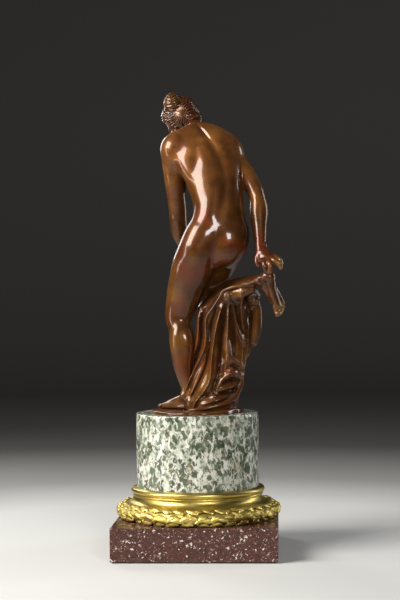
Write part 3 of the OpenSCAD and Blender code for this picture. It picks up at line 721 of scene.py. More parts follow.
def figure(g):
    """All limb fields on one grid, and their union."""
    body, leg, ar, al, head = (Field(g) for _ in range(5))
    torso(body)
    standing_leg(body)
    raised_leg(leg)
    right_arm(ar)
    left_arm(al)
    face_and_neck(head)
    hr = Field(g)
    hair(hr)
    X, Y, Z = g.ax[0][:, None, None], g.ax[1][None, :, None], g.ax[2][None, None, :]
    kl = 0.9 + 9.0 * step(228, 250, Z)
    ka = 0.5 + 6.5 * step(318, 338, Z)
    bl = smin(body.v, leg.v, kl)
    # the thigh and calf of the bent leg meet in a crease, the hands rest without blending
    f = smin(bl, ar.v, np.where(Z > 300, ka, 0.4))
    f = smin(f, al.v, np.where(Z > 300, ka, 0.4))
    # skin is smoothed where it is broad: trunk, arms and legs, not hands, feet or head
    soft = soften(f, g, 1.7)
    calm = step(126, 140, Z) * (1 - step(348, 358, Z)) * (1 - step(38, 46, X) * (1 - step(262, 276, Z)))
    calm = calm * (1 - step(30, 36, Y) * (1 - step(262, 276, Z)) * step(232, 240, Z))
    f = np.where(np.abs(soft) < 4.5, f + (soft - f) * calm, f)
    f = smin(f, head.v, 4.0)
    f = smin(f, hr.v, 0.7)
    return {"body": body.v, "leg": leg.v, "ar": ar.v, "al": al.v, "head": np.minimum(head.v, hr.v), "all": f.astype(np.float32)}


def beyond(P, cut, tol=0.0):
    return (P - cut[0]) @ cut[1] > -tol


def near(P, cut, r):
    return np.linalg.norm(P - cut[0], axis=1) < r


def who(P, g, F):
    """Which casting each vertex belongs to: 0 body, 1 head, 2 left arm, 3 right arm, 4 raised leg."""
    s = {k: sample(F[k], g, P) for k in ("body", "leg", "ar", "al", "head")}
    out = np.zeros(len(P), int)
    for code, key, cut in ((4, "leg", CUT_HIP), (3, "ar", CUT_SR), (2, "al", CUT_SL), (1, "head", CUT_NECK)):
        others = np.min([s[k] for k in s if k != key], 0)
        mine = (s[key] < others) | (near(P, cut, 17) & (s[key] < others + 2.5))
        side = beyond(P, cut)
        if code == 4:
            side = side | ((P[:, 0] > 36) & (P[:, 2] < 246))
        out[mine & side] = code
    return out


def build_figure():
    H = 0.5
    plan = {
        "figure_body": (0, (-42, -40, 119), (50, 46, 372), H * 1.1),
        "figure_head": (1, (-40, 12, 348), (8, 66, 401), 0.28),
        "figure_left_arm": (2, (-38, -2, 216), (14, 56, 334), H * 0.8),
        "figure_right_arm": (3, (18, -34, 228), (76, 34, 352), H * 0.8),
        "figure_raised_leg": (4, (-16, -34, 192), (82, 52, 272), H * 0.9),
    }
    made = {}
    for name, (code, lo, hi, h) in plan.items():
        g = Grid(lo, hi, h)
        F = figure(g)
        tol = 0.35

        def keep(P, g=g, F=F, code=code):
            w = who(P, g, F)
            ok = w == code
            return ok

        made[name] = piece_from(name + "_v", F["all"], g, keep, shift=OFF)
    return made


# ------------------------------------------------------------------ support, drapery, ground (mm)
def hash_noise(X, Y, Z, f, seed=0.0):
    """Smooth bumps without a texture: a sum of crossed sines."""
    a = np.sin(X * f + 1.3 * np.sin(Y * f * 0.9 + seed) + seed) + np.sin(Y * f * 1.1 + 1.7 * np.sin(Z * f * 0.8 + 2 + seed))
    b_ = np.sin(Z * f * 1.2 + 1.1 * np.sin(X * f * 1.3 + seed * 2)) + np.sin((X + Y + Z) * f * 0.7 + seed)
    return (a + b_) * 0.25


def cloth_y(Z):
    return np.interp(Z, [118, 150, 207, 228], [2, 2, 3, 0])


def drapery_field(g, F=None):
    d = Field(g)
    wdir = unit((0.12, 0.99, 0))
    d.chain([(7.5, -1, 118, 22.5), (9, 0.5, 130, 21.8), (13.5, 1.5, 146, 21.6), (16, 2.5, 165, 21.5), (16.5, 3, 185, 20.8), (18, 3.5, 200, 19.6), (21, 4, 208, 17)],
            k=0, w=wdir, s=1.14)
    d.ell((8, 20, 198), (13, 11, 18), None, k=8)
    d.ell((4, 27, 201), (10, 9, 8), None, k=5)
    d.ell((33, 2, 211), (15, 12, 12), None, k=7)
    # the lap under the shin
    d.chain([(4, 16, 206, 6), (12, 4, 210, 6.5), (22, -6, 215, 6.6), (34, -11, 219.5, 5.4), (45, -14, 222, 3.6)], k=5)
    # the far side of the block behind the hanging lap
    d.chain([(39, 10, 209, 7), (39, 10, 190, 7), (35, 8, 170, 6.5)], k=3)
    d.chain([(29.6, 1, 207, 9), (30.4, 2, 192, 8.6), (30.0, 3, 176, 8.4), (27.6, 3, 160, 8)], k=4)
    d.chain([(47.4, 0, 211, 4.2), (47.6, 0.5, 199, 4.4), (47.0, 1, 187, 4.2), (45.2, 1.5, 177.5, 2.8)], k=1.6)
    # relief on the seen side
    rl = [
        # sharp crests
        ([(19.5, 220, -1.2), (12, 208, -1.9), (5.2, 197, -2.3), (5.2, 178, -2.3), (0.5, 165, -2.5), (-6, 153, -2.6), (-11.5, 140, -2.4), (-16, 128, -2.2), (-18, 122, -1.6)], 1.8, 1.5),
        ([(25, 219, -1.0), (20.6, 209, -1.8), (16.9, 200, -2.3), (12.2, 178, -2.5), (10.2, 162, -2.5), (8.6, 146, -2.6), (2.4, 135, -2.5), (-3.4, 128, -2.3), (-7, 120, -1.8)], 1.8, 1.5),
        ([(25.6, 217, -0.8), (24.6, 200, -1.5), (24.2, 182, -1.8), (23.6, 166, -1.7), (21, 155, -1.0)], 1.4, 1.5),
        ([(28.0, 211, -0.8), (30.8, 199, -1.4), (33.6, 188, -1.8), (36.6, 180, -1.6)], 1.5, 1.5),
        ([(36.4, 222, -0.8), (36.4, 208, -1.8), (36.4, 192, -1.8), (37.6, 176, -1.2)], 2.2, 1.7),
        ([(0.6, 207, -1.6), (-1.6, 197, -2.2), (-1.8, 186, -1.8), (-4.5, 172, -1.6), (-9.4, 156, -1.4), (-13.6, 141, -1.2)], 2.2, 1.7),
        ([(14.4, 196, -0.7), (8.6, 178, -1.0), (4.6, 160, -1.3), (-1, 146, -1.3), (-8, 133, -1.2)], 1.2, 1.5),
        ([(17.4, 196, -0.4), (15.4, 178, -0.9), (14.4, 160, -1.1), (13.2, 147, -0.8)], 1.0, 1.5),
        # the crumpled folds at the lower right
        ([(18.5, 157, -1.0), (24, 163, -2.0), (30, 162, -2.2), (35.6, 157, -1.6)], 1.9, 1.6),
        ([(16, 141, -1.2), (22, 149, -2.0), (29, 152, -2.4), (35.5, 149, -1.8)], 1.8, 1.6),
        ([(11.5, 131, -1.2), (18.5, 137, -2.2), (26, 139, -2.4), (33, 142, -1.6)], 1.8, 1.6),
        ([(3, 125.5, -1.0), (12.5, 128, -1.9), (21, 130.5, -2.1), (28, 134.5, -1.4)], 1.6, 1.6),
        ([(24.5, 163, -1.0), (26.4, 155, -1.6), (23.4, 147, -1.2)], 1.5, 1.6),
        ([(29.6, 152, -0.8), (30.6, 144, -1.4), (26.8, 138, -1.0)], 1.5, 1.6),
        # hollows between them
        ([(22.6, 214, 0.8), (20.4, 200, 1.7), (18.0, 182, 2.4), (16.8, 164, 2.7), (15.2, 150, 2.2), (11.5, 138, 1.2)], 2.0, 2.0),
        ([(15.6, 206, 0.9), (10.4, 192, 1.6), (8.4, 176, 1.7), (5.6, 160, 1.8), (0.8, 148, 1.8), (-5.6, 135, 1.4), (-11, 125, 0.8)], 1.7, 2.0),
        ([(6.4, 206, 0.8), (2.0, 196, 1.4), (1.6, 180, 1.6), (-3.0, 166, 1.6), (-9.0, 151, 1.3)], 1.6, 2.0),
        ([(27.0, 208, 0.6), (27.8, 192, 1.3), (28.8, 178, 1.5), (29, 168, 1.2)], 1.8, 2.0),
        ([(32.6, 208, 0.6), (33.8, 196, 1.3), (37.2, 186, 1.2)], 1.5, 2.0),
        ([(20, 170, 1.0), (20.4, 160, 1.7), (18.6, 150, 1.4)], 1.6, 2.0),
        ([(27, 158, 1.6), (32, 156, 1.2)], 1.5, 2.0),
        ([(20.5, 143.5, 1.2), (27, 146, 2.0), (33, 145.5, 1.5)], 1.5, 2.0),
        ([(13, 134.5, 1.0), (20, 134.8, 1.7), (28, 137.5, 1.2)], 1.4, 2.0),
        ([(0, 131.5, 0.8), (7, 133, 1.3), (12, 136, 1.0)], 1.6, 2.0),
        ([(40.6, 214, 0.5), (41.4, 204, 1.6), (41.6, 192, 1.8), (41.0, 180, 1.2)], 1.7, 2.0),
    ]
    for pts, wd, p in rl:
        gain = (1.45 if pts[0][1] > 165 else 0.95) if pts[0][2] < 0 else (2.1 if pts[0][1] > 165 else 1.5)
        d.relief([(a_, b_, c_ * gain) for a_, b_, c_ in pts], wd, cloth_y, p=p)
    # rolled edge under the shin
    d.chain([(6, 2, 206.5, 1.7), (12, -5.5, 213.5, 1.7), (20, -12.0, 220.5, 1.5), (28, -15.4, 224.0, 1.4), (37, -17, 225.2, 1.3), (46, -18, 225.2, 1.2)], k=1.4)
    # hem along the ground
    d.chain([(34.6, -6, 146, 1.6), (33.0, -11, 137, 1.8), (29, -16.5, 130.5, 1.9), (20.6, -22.0, 126.0, 1.9), (10, -25.5, 123.4, 1.8), (-1, -27, 121.6, 1.6), (-8, -25.6, 120.6, 1.5)], k=1.8)
    # the far side
    far = [
        [(8, 205, -1.8), (5, 183, -2.4), (2, 160, -2.4), (-3, 138, -2.2), (-6, 121, -1.8)],
        [(17, 206, -1.8), (15.5, 184, -2.2), (13, 160, -2.4), (9, 138, -2.2), (6, 121, -1.8)],
        [(26, 208, -1.8), (25, 186, -2.2), (22, 160, -2.4), (18, 136, -2.0), (16, 121, -1.6)],
        [(34, 208, -1.6), (33, 186, -2.0), (30, 160, -2.2), (26, 136, -1.8), (24, 121, -1.4)],
    ]
    for pts in far:
        d.relief(pts, 2.4, cloth_y, side=1, p=1.7)
    for (a_, b_) in zip(far[:-1], far[1:]):
        d.relief([((p[0] + q[0]) / 2, p[1] - 2, 1.3) for p, q in zip(a_, b_)], 2.0, cloth_y, side=1)
    d.relief([(-2, 204, 1.0), (-5, 182, 1.4), (-6, 158, 1.2)], 2.2, cloth_y, side=1)
    for y0 in (-8, 0, 8, 15):
        d.relief([(y0, 206, -0.8), (y0 + 1.5, 180, -1.4), (y0 - 1, 150, -1.4), (y0, 124, -1.0)], 2.0, 26, side=1, p=1.7, axis=1)
        d.relief([(y0 + 4, 206, 0.5), (y0 + 5, 180, 1.0), (y0 + 3, 150, 1.0), (y0 + 4, 124, 0.6)], 1.8, 26, side=1, axis=1)
    d.plane((0, 0, DECK + 3.15), (0, 0, -1), k=0.4)
    return d


def stump_field(g):
    s = Field(g)
    s.chain([(16, 2, 122, 13), (18, 2, 145, 13), (25, 5, 175, 10), (31, 6, 200, 8.0), (39, 2, 213, 7)], k=0)
    s.ell((45.4, -6.4, 216), (6.4, 6.4, 8.0), None, k=3)
    s.bump((10, -25, 118), (62, 25, 228), lambda X, Y, Z, v: 0.75 * hash_noise(X, Y, Z, 1.15) + 0.35 * hash_noise(X, Y, Z, 2.7, 1.0))
    s.plane((0, 0, DECK + 3.15), (0, 0, -1), k=0.4)
    return s


def ground_field(g):
    s = Field(g)
    s.chain([(-1, 0, DECK + 1.4, 39), (1, 0, DECK + 1.4, 39)], k=0, w=V(0, 0, 1), s=22)
    X, Y, Z = g.ax[0][:, None, None], g.ax[1][None, :, None], g.ax[2][None, None, :]
    th = np.arctan2(Y, X + 0 * Y)
    rad = 39.2 + 0.7 * np.sin(3 * th + 0.6) + 0.5 * np.sin(7 * th + 2) + 0.35 * np.sin(13 * th)
    rad = rad + 1.5 * np.exp(-(((th - 2.64) / 0.35) ** 2))
    rr = np.sqrt(X * X + Y * Y)
    top = DECK + 2.5 + 0.28 * hash_noise(X, Y, 0 * X, 0.55) + 0.16 * hash_noise(X, Y, 0 * X, 1.4, 2.0)
    top = top + 3.2 * np.exp(-(((X - 27) / 11) ** 2 + ((Y + 9) / 15) ** 2)) + 1.0 * np.exp(-(((X + 6) / 9) ** 2 + ((Y + 27) / 7) ** 2))
    v = smax(rr - rad, Z - top, 1.8)
    v = smax(v, DECK + 0.02 - Z, 0.3)
    s.v = v.astype(np.float32)
    return s


def build_support():
    h = 0.5
    g = Grid((-28, -40, 119), (58, 46, 232), h)
    F = figure(g)["all"]
    st = stump_field(g)
    dr = drapery_field(g)
    st.v = smax(st.v, -(F + 0.25), 0.2)
    dv = smax(dr.v, -(F + 0.2), 0.2)
    drape = piece_from("drapery_v", dv, g, shift=OFF)
    stump = piece_from("tree_stump_v", st.v, g, shift=OFF)
    g2 = Grid((-44, -44, 115.5), (44, 44, 127), 0.55)
    ground = piece_from("ground_plate_v", ground_field(g2).v, g2)
    return {"drapery": drape, "tree_stump": stump, "ground_plate": ground}


# ------------------------------------------------------------------ turned and carved stand (mm)
def lathe(name, prof, n=256, closed=True):
    prof = np.array(prof, float)
    a = np.linspace(0, 2 * np.pi, n, endpoint=False)
    P = np.concatenate([np.stack([prof[:, 0] * math.cos(t), prof[:, 0] * math.sin(t), prof[:, 1]], 1) for t in a])
    m = len(prof)
    faces = []
    for i in range(n):
        j = (i + 1) % n
        for q in range(m if closed else m - 1):
            r = (q + 1) % m
            faces.append((i * m + q, j * m + q, j * m + r, i * m + r))
    return mesh_object(name, P, faces)


def arc(cx, cz, r, a0, a1, n=14, sx=1.0):
    t = np.radians(np.linspace(a0, a1, n))
    return [(cx + sx * r * math.cos(q), cz + r * math.sin(q)) for q in t]


PT = 28.4          # top of the plinth
LIP = 55.2         # top of the gilt mouldings


def build_scotia():
    prof = [(49.0, PT), (56.0, PT), (56.0, PT + 11.4), (62.8, PT + 11.4), (63.2, PT + 12.0), (63.2, PT + 12.8)]
    t = np.radians(np.linspace(-90, -172, 24))
    prof += [(63.2 + 8.8 * math.cos(q), PT + 20.0 + 7.0 * math.sin(q)) for q in t]
    prof += [(54.9, PT + 19.6)]
    prof += arc(54.9, PT + 20.5, 0.9, -90, 80, 8)
    prof += [(54.0, PT + 21.6), (53.8, PT + 22.2)]
    prof += arc(54.5, PT + 23.7, 2.7, -75, 75, 18)
    prof += [(54.2, LIP - 0.25), (53.9, LIP), (52.65, LIP), (52.65, PT + 23.8), (49.0, PT + 23.8)]
    return lathe("scotia_moulding_v", prof, 320)


def leaf(L, W, T, nu=9, nv=7):
    """A laurel leaf lying along +u, with a raised midrib: points (u, v, w) and quads."""
    pts, faces = [], []
    for i in range(nu):
        t = i / (nu - 1)
        wdt = W * (math.sin(math.pi * min(1, t ** 0.8)) ** 0.8 if 0 < t < 1 else 0.0) + 0.05
        for j in range(nv):
            s = -1 + 2 * j / (nv - 1)
            u = L * t
            v = wdt * s
            dome = T * (1 - 0.75 * s * s) * math.sin(math.pi * (0.12 + 0.80 * t))
            rib = 0.55 * math.exp(-(s / 0.16) ** 2) * (1 - t) ** 0.4
            vein = 0.13 * math.cos(9 * t * math.pi + 3.0 * abs(s)) * (1 - abs(s)) * (1 if abs(s) > 0.12 else 0)
            pts.append((u, v, dome + rib + vein + 1.5 * t ** 2.2 * (1 - 0.5 * s * s) - 0.5 * s * s * (1 - t)))
    for i in range(nu - 1):
        for j in range(nv - 1):
            a = i * nv + j
            faces.append((a, a + nv, a + nv + 1, a + 1))
    return np.array(pts), faces


def build_wreath():
    R0, Z0, rt = 63.2, PT + 6.8, 5.0
    P, faces = [], []

    def put(pts, fs, th, phi, roll=0.0, lift=0.0, flip=1):
        """Wraps (u along the ring, v round the tube, w out) onto the torus."""
        base = len(P)
        for u, v, w in pts:
            c, s = math.cos(roll), math.sin(roll)
            uu, vv = u * c - v * s, u * s + v * c
            p2 = phi + vv / rt
            t2 = th + flip * uu / (R0 + rt * math.cos(p2))
            r = R0 + (rt + lift + w) * math.cos(p2)
            P.append((r * math.cos(t2), r * math.sin(t2), Z0 + (rt + lift + w) * math.sin(p2)))
        for f in fs:
            f = tuple(base + q for q in f)
            faces.append(f if flip > 0 else f[::-1])

    # core of the ring
    n, m = 256, 40
    base = len(P)
    for i in range(n):
        t = 2 * math.pi * i / n
        for j in range(m):
            q = 2 * math.pi * j / m
            r = R0 + rt * math.cos(q)
            P.append((r * math.cos(t), r * math.sin(t), max(PT, Z0 + (rt + 0.0) * math.sin(q)) if q > math.pi else Z0 + rt * math.sin(q)))
    for i in range(n):
        for j in range(m):
            a, b_ = base + i * m, base + ((i + 1) % n) * m
            faces.append((a + j, b_ + j, b_ + (j + 1) % m, a + (j + 1) % m))
    lf, ff = leaf(12.6, 3.0, 1.6)
    ff = [f[::-1] if False else f for f in ff]
    groups = 34
    for i in range(groups):
        th = 2 * math.pi * i / groups
        for row, (phi, off) in enumerate(((math.radians(128), 0.5), (math.radians(78), 0.0), (math.radians(30), 0.5), (math.radians(-18), 0.0), (math.radians(-56), 0.5))):
            t0 = th + off * 2 * math.pi / groups
            put(lf, ff, t0, phi, roll=0.26 * (1 if row % 2 else -1) + rng.uniform(-0.24, 0.24), lift=rng.uniform(-0.2, 0.5), flip=-1)
    # berries between the leaves
    bu, bf = [], []
    nb, mb = 8, 6
    for i in range(nb):
        for j in range(mb):
            a, e = 2 * math.pi * i / nb, (j / (mb - 1)) * math.pi * 0.5
            bu.append((1.25 * math.cos(a) * math.cos(e), 1.25 * math.sin(a) * math.cos(e), 1.25 * math.sin(e)))
    for i in range(nb):
        for j in range(mb - 1):
            bf.append((i * mb + j, ((i + 1) % nb) * mb + j, ((i + 1) % nb) * mb + j + 1, i * mb + j + 1))
    for i in range(groups):
        th = 2 * math.pi * i / groups
        for phi, off in ((math.radians(103), 0.30), (math.radians(54), 0.80), (math.radians(6), 0.30), (math.radians(-38), 0.80)):
            put(np.array(bu), bf, th + (off + rng.uniform(-0.04, 0.04)) * 2 * math.pi / groups, phi + rng.uniform(-0.05, 0.05), lift=0.35, flip=1)
    ob = mesh_object("laurel_wreath_ring_v", np.array(P), faces)
    return ob


def build_drum():
    r, c = 52.5, 0.9
    z0, z1 = LIP - 3.0, DECK
    prof = [(8.0, z0), (r - c, z0)] + arc(r - c, z0 + c, c, -90, 0, 5)
    for q in np.linspace(z0 + c, z1 - c, 30)[1:-1]:
        prof.append((r, q))
    prof += arc(r - c, z1 - c, c, 0, 90, 6)
    for q in np.linspace(r - c, 8.0, 14)[1:]:
        prof.append((q, z1))
    ob = lathe("marble_drum_v", prof, 360)
    co = np.empty(len(ob.data.vertices) * 3)
    ob.data.vertices.foreach_get("co", co)
    co = co.reshape(-1, 3) * 1000
    th = np.arctan2(co[:, 1], co[:, 0])
    rim = np.hypot(co[:, 0], co[:, 1]) > r - 1.2
    top = co[:, 2] > z1 - 1.1
    chip = np.zeros(len(co))
    for t0, w, dpt in zip(rng.uniform(-np.pi, np.pi, 16), rng.uniform(0.012, 0.03, 16), rng.uniform(0.15, 0.5, 16)):
        chip += dpt * np.exp(-(((th - t0 + np.pi) % (2 * np.pi) - np.pi) / w) ** 2)
    k = (rim & top).astype(float) * chip
    co[:, 0] -= k * np.cos(th) * 0.8
    co[:, 1] -= k * np.sin(th) * 0.8
    co[:, 2] -= k * 0.7
    ob.data.vertices.foreach_set("co", (co / 1000).ravel())
    ob.data.update()
    return ob


def build_plinth():
    """A slab of stone with rounded arrises and small chips, as one closed skin."""
    w, z0, z1, rr = 68.5, 0.8, PT, 0.7
    n, nz = 150, 30

    def prof_edge(t):
        return t

    verts, faces, ids = [], [], {}
    xs = np.concatenate([[-w], np.linspace(-w + 0.35, -w + 3, 6), np.linspace(-w + 4.5, w - 4.5, n), np.linspace(w - 3, w - 0.35, 6), [w]])
    zs = np.concatenate([[z0], z0 + np.array([0.35, 0.9, 1.8]), np.linspace(z0 + 3, z1 - 3, nz), z1 - np.array([1.8, 0.9, 0.35]), [z1]])

    def vid(x, y, z):
        key = (round(x, 4), round(y, 4), round(z, 4))
        if key not in ids:
            ids[key] = len(verts)
            verts.append(key)
        return ids[key]

    def sheet_(f, A, B, flip):
        for i in range(len(A) - 1):
            for j in range(len(B) - 1):
                q = (vid(*f(A[i], B[j])), vid(*f(A[i + 1], B[j])), vid(*f(A[i + 1], B[j + 1])), vid(*f(A[i], B[j + 1])))
                faces.append(q[::-1] if flip else q)

    sheet_(lambda a, b_: (a, -w, b_), xs, zs, False)
    sheet_(lambda a, b_: (a, w, b_), xs, zs, True)
    sheet_(lambda a, b_: (-w, a, b_), xs, zs, True)
    sheet_(lambda a, b_: (w, a, b_), xs, zs, False)
    sheet_(lambda a, b_: (a, b_, z1), xs, xs, False)
    sheet_(lambda a, b_: (a, b_, z0), xs, xs, True)
    P = np.array(verts, float)
    c = np.array([0, 0, (z0 + z1) / 2])
    half = np.array([w, w, (z1 - z0) / 2])
    q = P - c
    inner = np.clip(q, -(half - rr), half - rr)
    dlt = q - inner
    ln = np.linalg.norm(dlt, axis=1)
    m = ln > 1e-6
    # round the arrises: anything outside the shrunken block goes back to distance rr from it
    q[m] = inner[m] + dlt[m] / ln[m][:, None] * np.minimum(rr, ln[m])[:, None]
    # chips along the edges
    edge = ((np.abs(dlt) > 1e-6).sum(1) >= 2) | ((np.abs(np.abs(q) - half) < 1.1).sum(1) >= 2)
    chip = np.zeros(len(q))
    for side in range(4):
        for _ in range(15):
            t0, wd, dp = rng.uniform(-w, w), rng.uniform(0.6, 2.2), rng.uniform(0.12, 0.62)
            ax_, sg = side // 2, 1 if side % 2 else -1
            on = (np.abs(q[:, ax_] - sg * w) < 1.3) & (q[:, 2] > half[2] - 1.3)
            chip[on] += dp * np.exp(-((q[on, 1 - ax_] - t0) / wd) ** 2)
    for sx in (-1, 1):
        for sy in (-1, 1):
            dist = np.linalg.norm(q - np.array([sx * w, sy * w, half[2]]), axis=1)
            chip += 0.9 * np.exp(-(dist / 1.6) ** 2)
    nrm = dlt / np.maximum(ln, 1e-6)[:, None]
    nrm = np.sign(q) * (np.abs(np.abs(q) - half) < 1.4)
    nl = np.linalg.norm(nrm, axis=1)
    nrm = nrm / np.maximum(nl, 1e-6)[:, None]
    q = q - nrm * (np.minimum(chip, 1.3) * (nl > 1.2))[:, None]
    return mesh_object("porphyry_plinth_v", q + c, faces, smooth=True)


# ------------------------------------------------------------------ materials
class Nodes:
    def __init__(self, name):
        self.mat = bpy.data.materials.new(name)
        self.mat.use_nodes = True
        self.t = self.mat.node_tree
        self.t.nodes.clear()
        self.out = self.t.nodes.new("ShaderNodeOutputMaterial")
        self.b = self.t.nodes.new("ShaderNodeBsdfPrincipled")
        self.link(self.b.outputs[0], self.out.inputs[0])
        self.co = self.t.nodes.new("ShaderNodeTexCoord").outputs["Object"]

    def link(self, a, b_):
        self.t.links.new(a, b_)

    def new(self, kind, **props):
        n = self.t.nodes.new(kind)
        for k, v in props.items():
            setattr(n, k, v)
        return n

    def noise(self, scale, detail=4, rough=0.55, dist=0.0, vec=None):
        n = self.new("ShaderNodeTexNoise")
        n.inputs["Scale"].default_value = scale
        n.inputs["Detail"].default_value = detail
        n.inputs["Roughness"].default_value = rough
        n.inputs["Distortion"].default_value = dist
        self.link(vec or self.co, n.inputs["Vector"])
        return n.outputs["Fac"]

    def voro(self, scale, feature="F1", rand=1.0, vec=None, out="Distance"):
        n = self.new("ShaderNodeTexVoronoi", feature=feature)
        n.inputs["Scale"].default_value = scale
        n.inputs["Randomness"].default_value = rand
        self.link(vec or self.co, n.inputs["Vector"])
        return n.outputs[out]

    def ramp(self, fac, stops, interp="LINEAR"):
        n = self.new("ShaderNodeValToRGB")
        n.color_ramp.interpolation = interp
        el = n.color_ramp.elements
        while len(el) < len(stops):
            el.new(0.5)
        for e, (p, c) in zip(el, stops):
            e.position = p
            e.color = (*c, 1) if isinstance(c, tuple) else (c, c, c, 1)
        self.link(fac, n.inputs[0])
        return n.outputs[0]

    def mix(self, fac, a, b_, mode="MIX"):
        n = self.new("ShaderNodeMix", data_type="RGBA", blend_type=mode)
        if isinstance(fac, (int, float)):
            n.inputs[0].default_value = fac
        else:
            self.link(fac, n.inputs[0])
        for s, v in ((6, a), (7, b_)):
            if isinstance(v, tuple):
                n.inputs[s].default_value = (*v, 1)
            else:
                self.link(v, n.inputs[s])
        return n.outputs[2]

    def math(self, op, a, b_=None, clamp=False):
        n = self.new("ShaderNodeMath", operation=op, use_clamp=clamp)
        for i, v in enumerate((a, b_)):
            if v is None:
                continue
            if isinstance(v, (int, float)):
                n.inputs[i].default_value = v
            else:
                self.link(v, n.inputs[i])
        return n.outputs[0]

    def bump(self, height, strength=0.2, dist=0.0005, normal=None):
        n = self.new("ShaderNodeBump")
        n.inputs["Strength"].default_value = strength
        n.inputs["Distance"].default_value = dist
        self.link(height, n.inputs["Height"])
        if normal is not None:
            self.link(normal, n.inputs["Normal"])
        return n.outputs[0]

    def set(self, **kw):
        for k, v in kw.items():
            s = self.b.inputs[k]
            if isinstance(v, (int, float)):
                s.default_value = v
            elif isinstance(v, tuple):
                s.default_value = (*v, 1)
            else:
                self.link(v, s)


def m_bronze(name="bronze_patina", hollow_shade_shift=0.0):
    n = Nodes(name)
    big = n.noise(34, 3, 0.5, 0.4)
    mid = n.noise(120, 5, 0.6, 0.2)
    fine = n.noise(900, 3, 0.6)
    col = n.ramp(big, [(0.30, (0.046, 0.0145, 0.0034)), (0.48, (0.088, 0.0300, 0.0058)), (0.66, (0.150, 0.0590, 0.0095))])
    # painted light: the patina is painted lighter in a band over the upper back and shoulders, where the light from
    # above falls
    xyz = n.new("ShaderNodeSeparateXYZ")
    n.link(n.co, xyz.inputs[0])
    lit = n.ramp(big, [(0.30, (0.115, 0.0380, 0.0080)), (0.48, (0.195, 0.0700, 0.0150)), (0.66, (0.270, 0.1060, 0.0230))])
    col = n.mix(n.ramp(xyz.outputs[2], [(0.275, 0.0), (0.345, 0.75), (0.358, 0.75), (0.374, 0.05)]), col, lit)
    red = n.ramp(n.noise(22, 3, 0.5, 0.6), [(0.50, 0.0), (0.66, 0.75)])
    col = n.mix(red, col, (0.125, 0.0210, 0.0048))
    dark = n.ramp(mid, [(0.30, 0.45), (0.52, 0.0)])
    col = n.mix(dark, col, (0.030, 0.012, 0.005))
    geo = n.new("ShaderNodeNewGeometry")
    # painted shade: the colour darkens in hollows and creases, where shade falls
    hollow_shade = n.ramp(geo.outputs["Pointiness"], [(0.45 + hollow_shade_shift, 0.92), (0.497 + hollow_shade_shift * 0.35, 0.0)])
    col = n.mix(hollow_shade, col, (0.010, 0.005, 0.003))
    raised = n.ramp(geo.outputs["Pointiness"], [(0.54, 0.0), (0.64, 0.5)])
    col = n.mix(raised, col, (0.26, 0.125, 0.036))
    for c in ((0.0728, -0.0206, 0.2420), (0.0750, -0.0150, 0.2040)):
        d = n.new("ShaderNodeVectorMath", operation="DISTANCE")
        n.link(n.co, d.inputs[0])
        d.inputs[1].default_value = c
        spot = n.ramp(n.math("ADD", d.outputs["Value"], n.math("MULTIPLY", mid, 0.003)), [(0.0045, 0.7), (0.0090, 0.0)])
        col = n.mix(spot, col, (0.36, 0.22, 0.060))
    rough = n.ramp(mid, [(0.3, 0.34), (0.7, 0.46)])
    n.set(**{"Base Color": col, "Metallic": 0.32, "Specular IOR Level": 0.12, "Roughness": rough, "Coat Weight": 0.62, "Coat IOR": 1.52})
    cr = n.ramp(n.noise(260, 4, 0.6), [(0.35, 0.07), (0.7, 0.14)])
    n.set(**{"Coat Roughness": cr})
    n.link(n.bump(fine, 0.08, 0.0002), n.b.inputs["Normal"])
    n.link(n.bump(n.noise(180, 4, 0.6), 0.08, 0.0004), n.b.inputs["Coat Normal"])
    return n.mat


def m_gilt(name="gilt_bronze", matte=False):
    n = Nodes(name)
    big = n.noise(60, 4, 0.55, 0.3)
    up = 1.22 if matte else 1.0
    col = n.ramp(big, [(0.32, (0.42 * up, 0.315 * up, 0.080 * up)), (0.5, (0.52 * up, 0.405 * up, 0.112 * up)), (0.7, (0.62 * up, 0.495 * up, 0.160 * up))])
    geo = n.new("ShaderNodeNewGeometry")
    # painted shade: the gilt darkens in the hollows between leaves and mouldings, where shade falls
    hollow_shade = n.ramp(geo.outputs["Pointiness"], [(0.40, 0.85), (0.49, 0.0)])
    col = n.mix(hollow_shade, col, (0.085, 0.050, 0.016))
    spots = n.ramp(n.noise(420, 5, 0.65), [(0.64, 0.0), (0.76, 0.25)])
    col = n.mix(spots, col, (0.20, 0.12, 0.04))
    rough = n.ramp(n.noise(300, 4, 0.6), [(0.3, 0.36 if matte else 0.30), (0.7, 0.52 if matte else 0.40)])
    n.set(**{"Base Color": col, "Metallic": 1.0, "Roughness": rough})
    grain = n.noise(1800, 3, 0.6) if matte else n.noise(700, 3, 0.5)
    n.link(n.bump(grain, 0.30 if matte else 0.04, 0.0003), n.b.inputs["Normal"])
    return n.mat


def warped(n, scale, amount, base=None):
    warp = n.new("ShaderNodeVectorMath", operation="MULTIPLY_ADD")
    nz = n.new("ShaderNodeTexNoise")
    nz.inputs["Scale"].default_value = scale
    nz.inputs["Detail"].default_value = 4
    n.link(base or n.co, nz.inputs["Vector"])
    n.link(nz.outputs["Color"], warp.inputs[0])
    warp.inputs[1].default_value = (amount, amount, amount)
    n.link(base or n.co, warp.inputs[2])
    return warp.outputs[0]


def stretched(n, rot, scale):
    m = n.new("ShaderNodeMapping")
    m.inputs["Rotation"].default_value = rot
    m.inputs["Scale"].default_value = scale
    n.link(n.co, m.inputs["Vector"])
    return m.outputs[0]


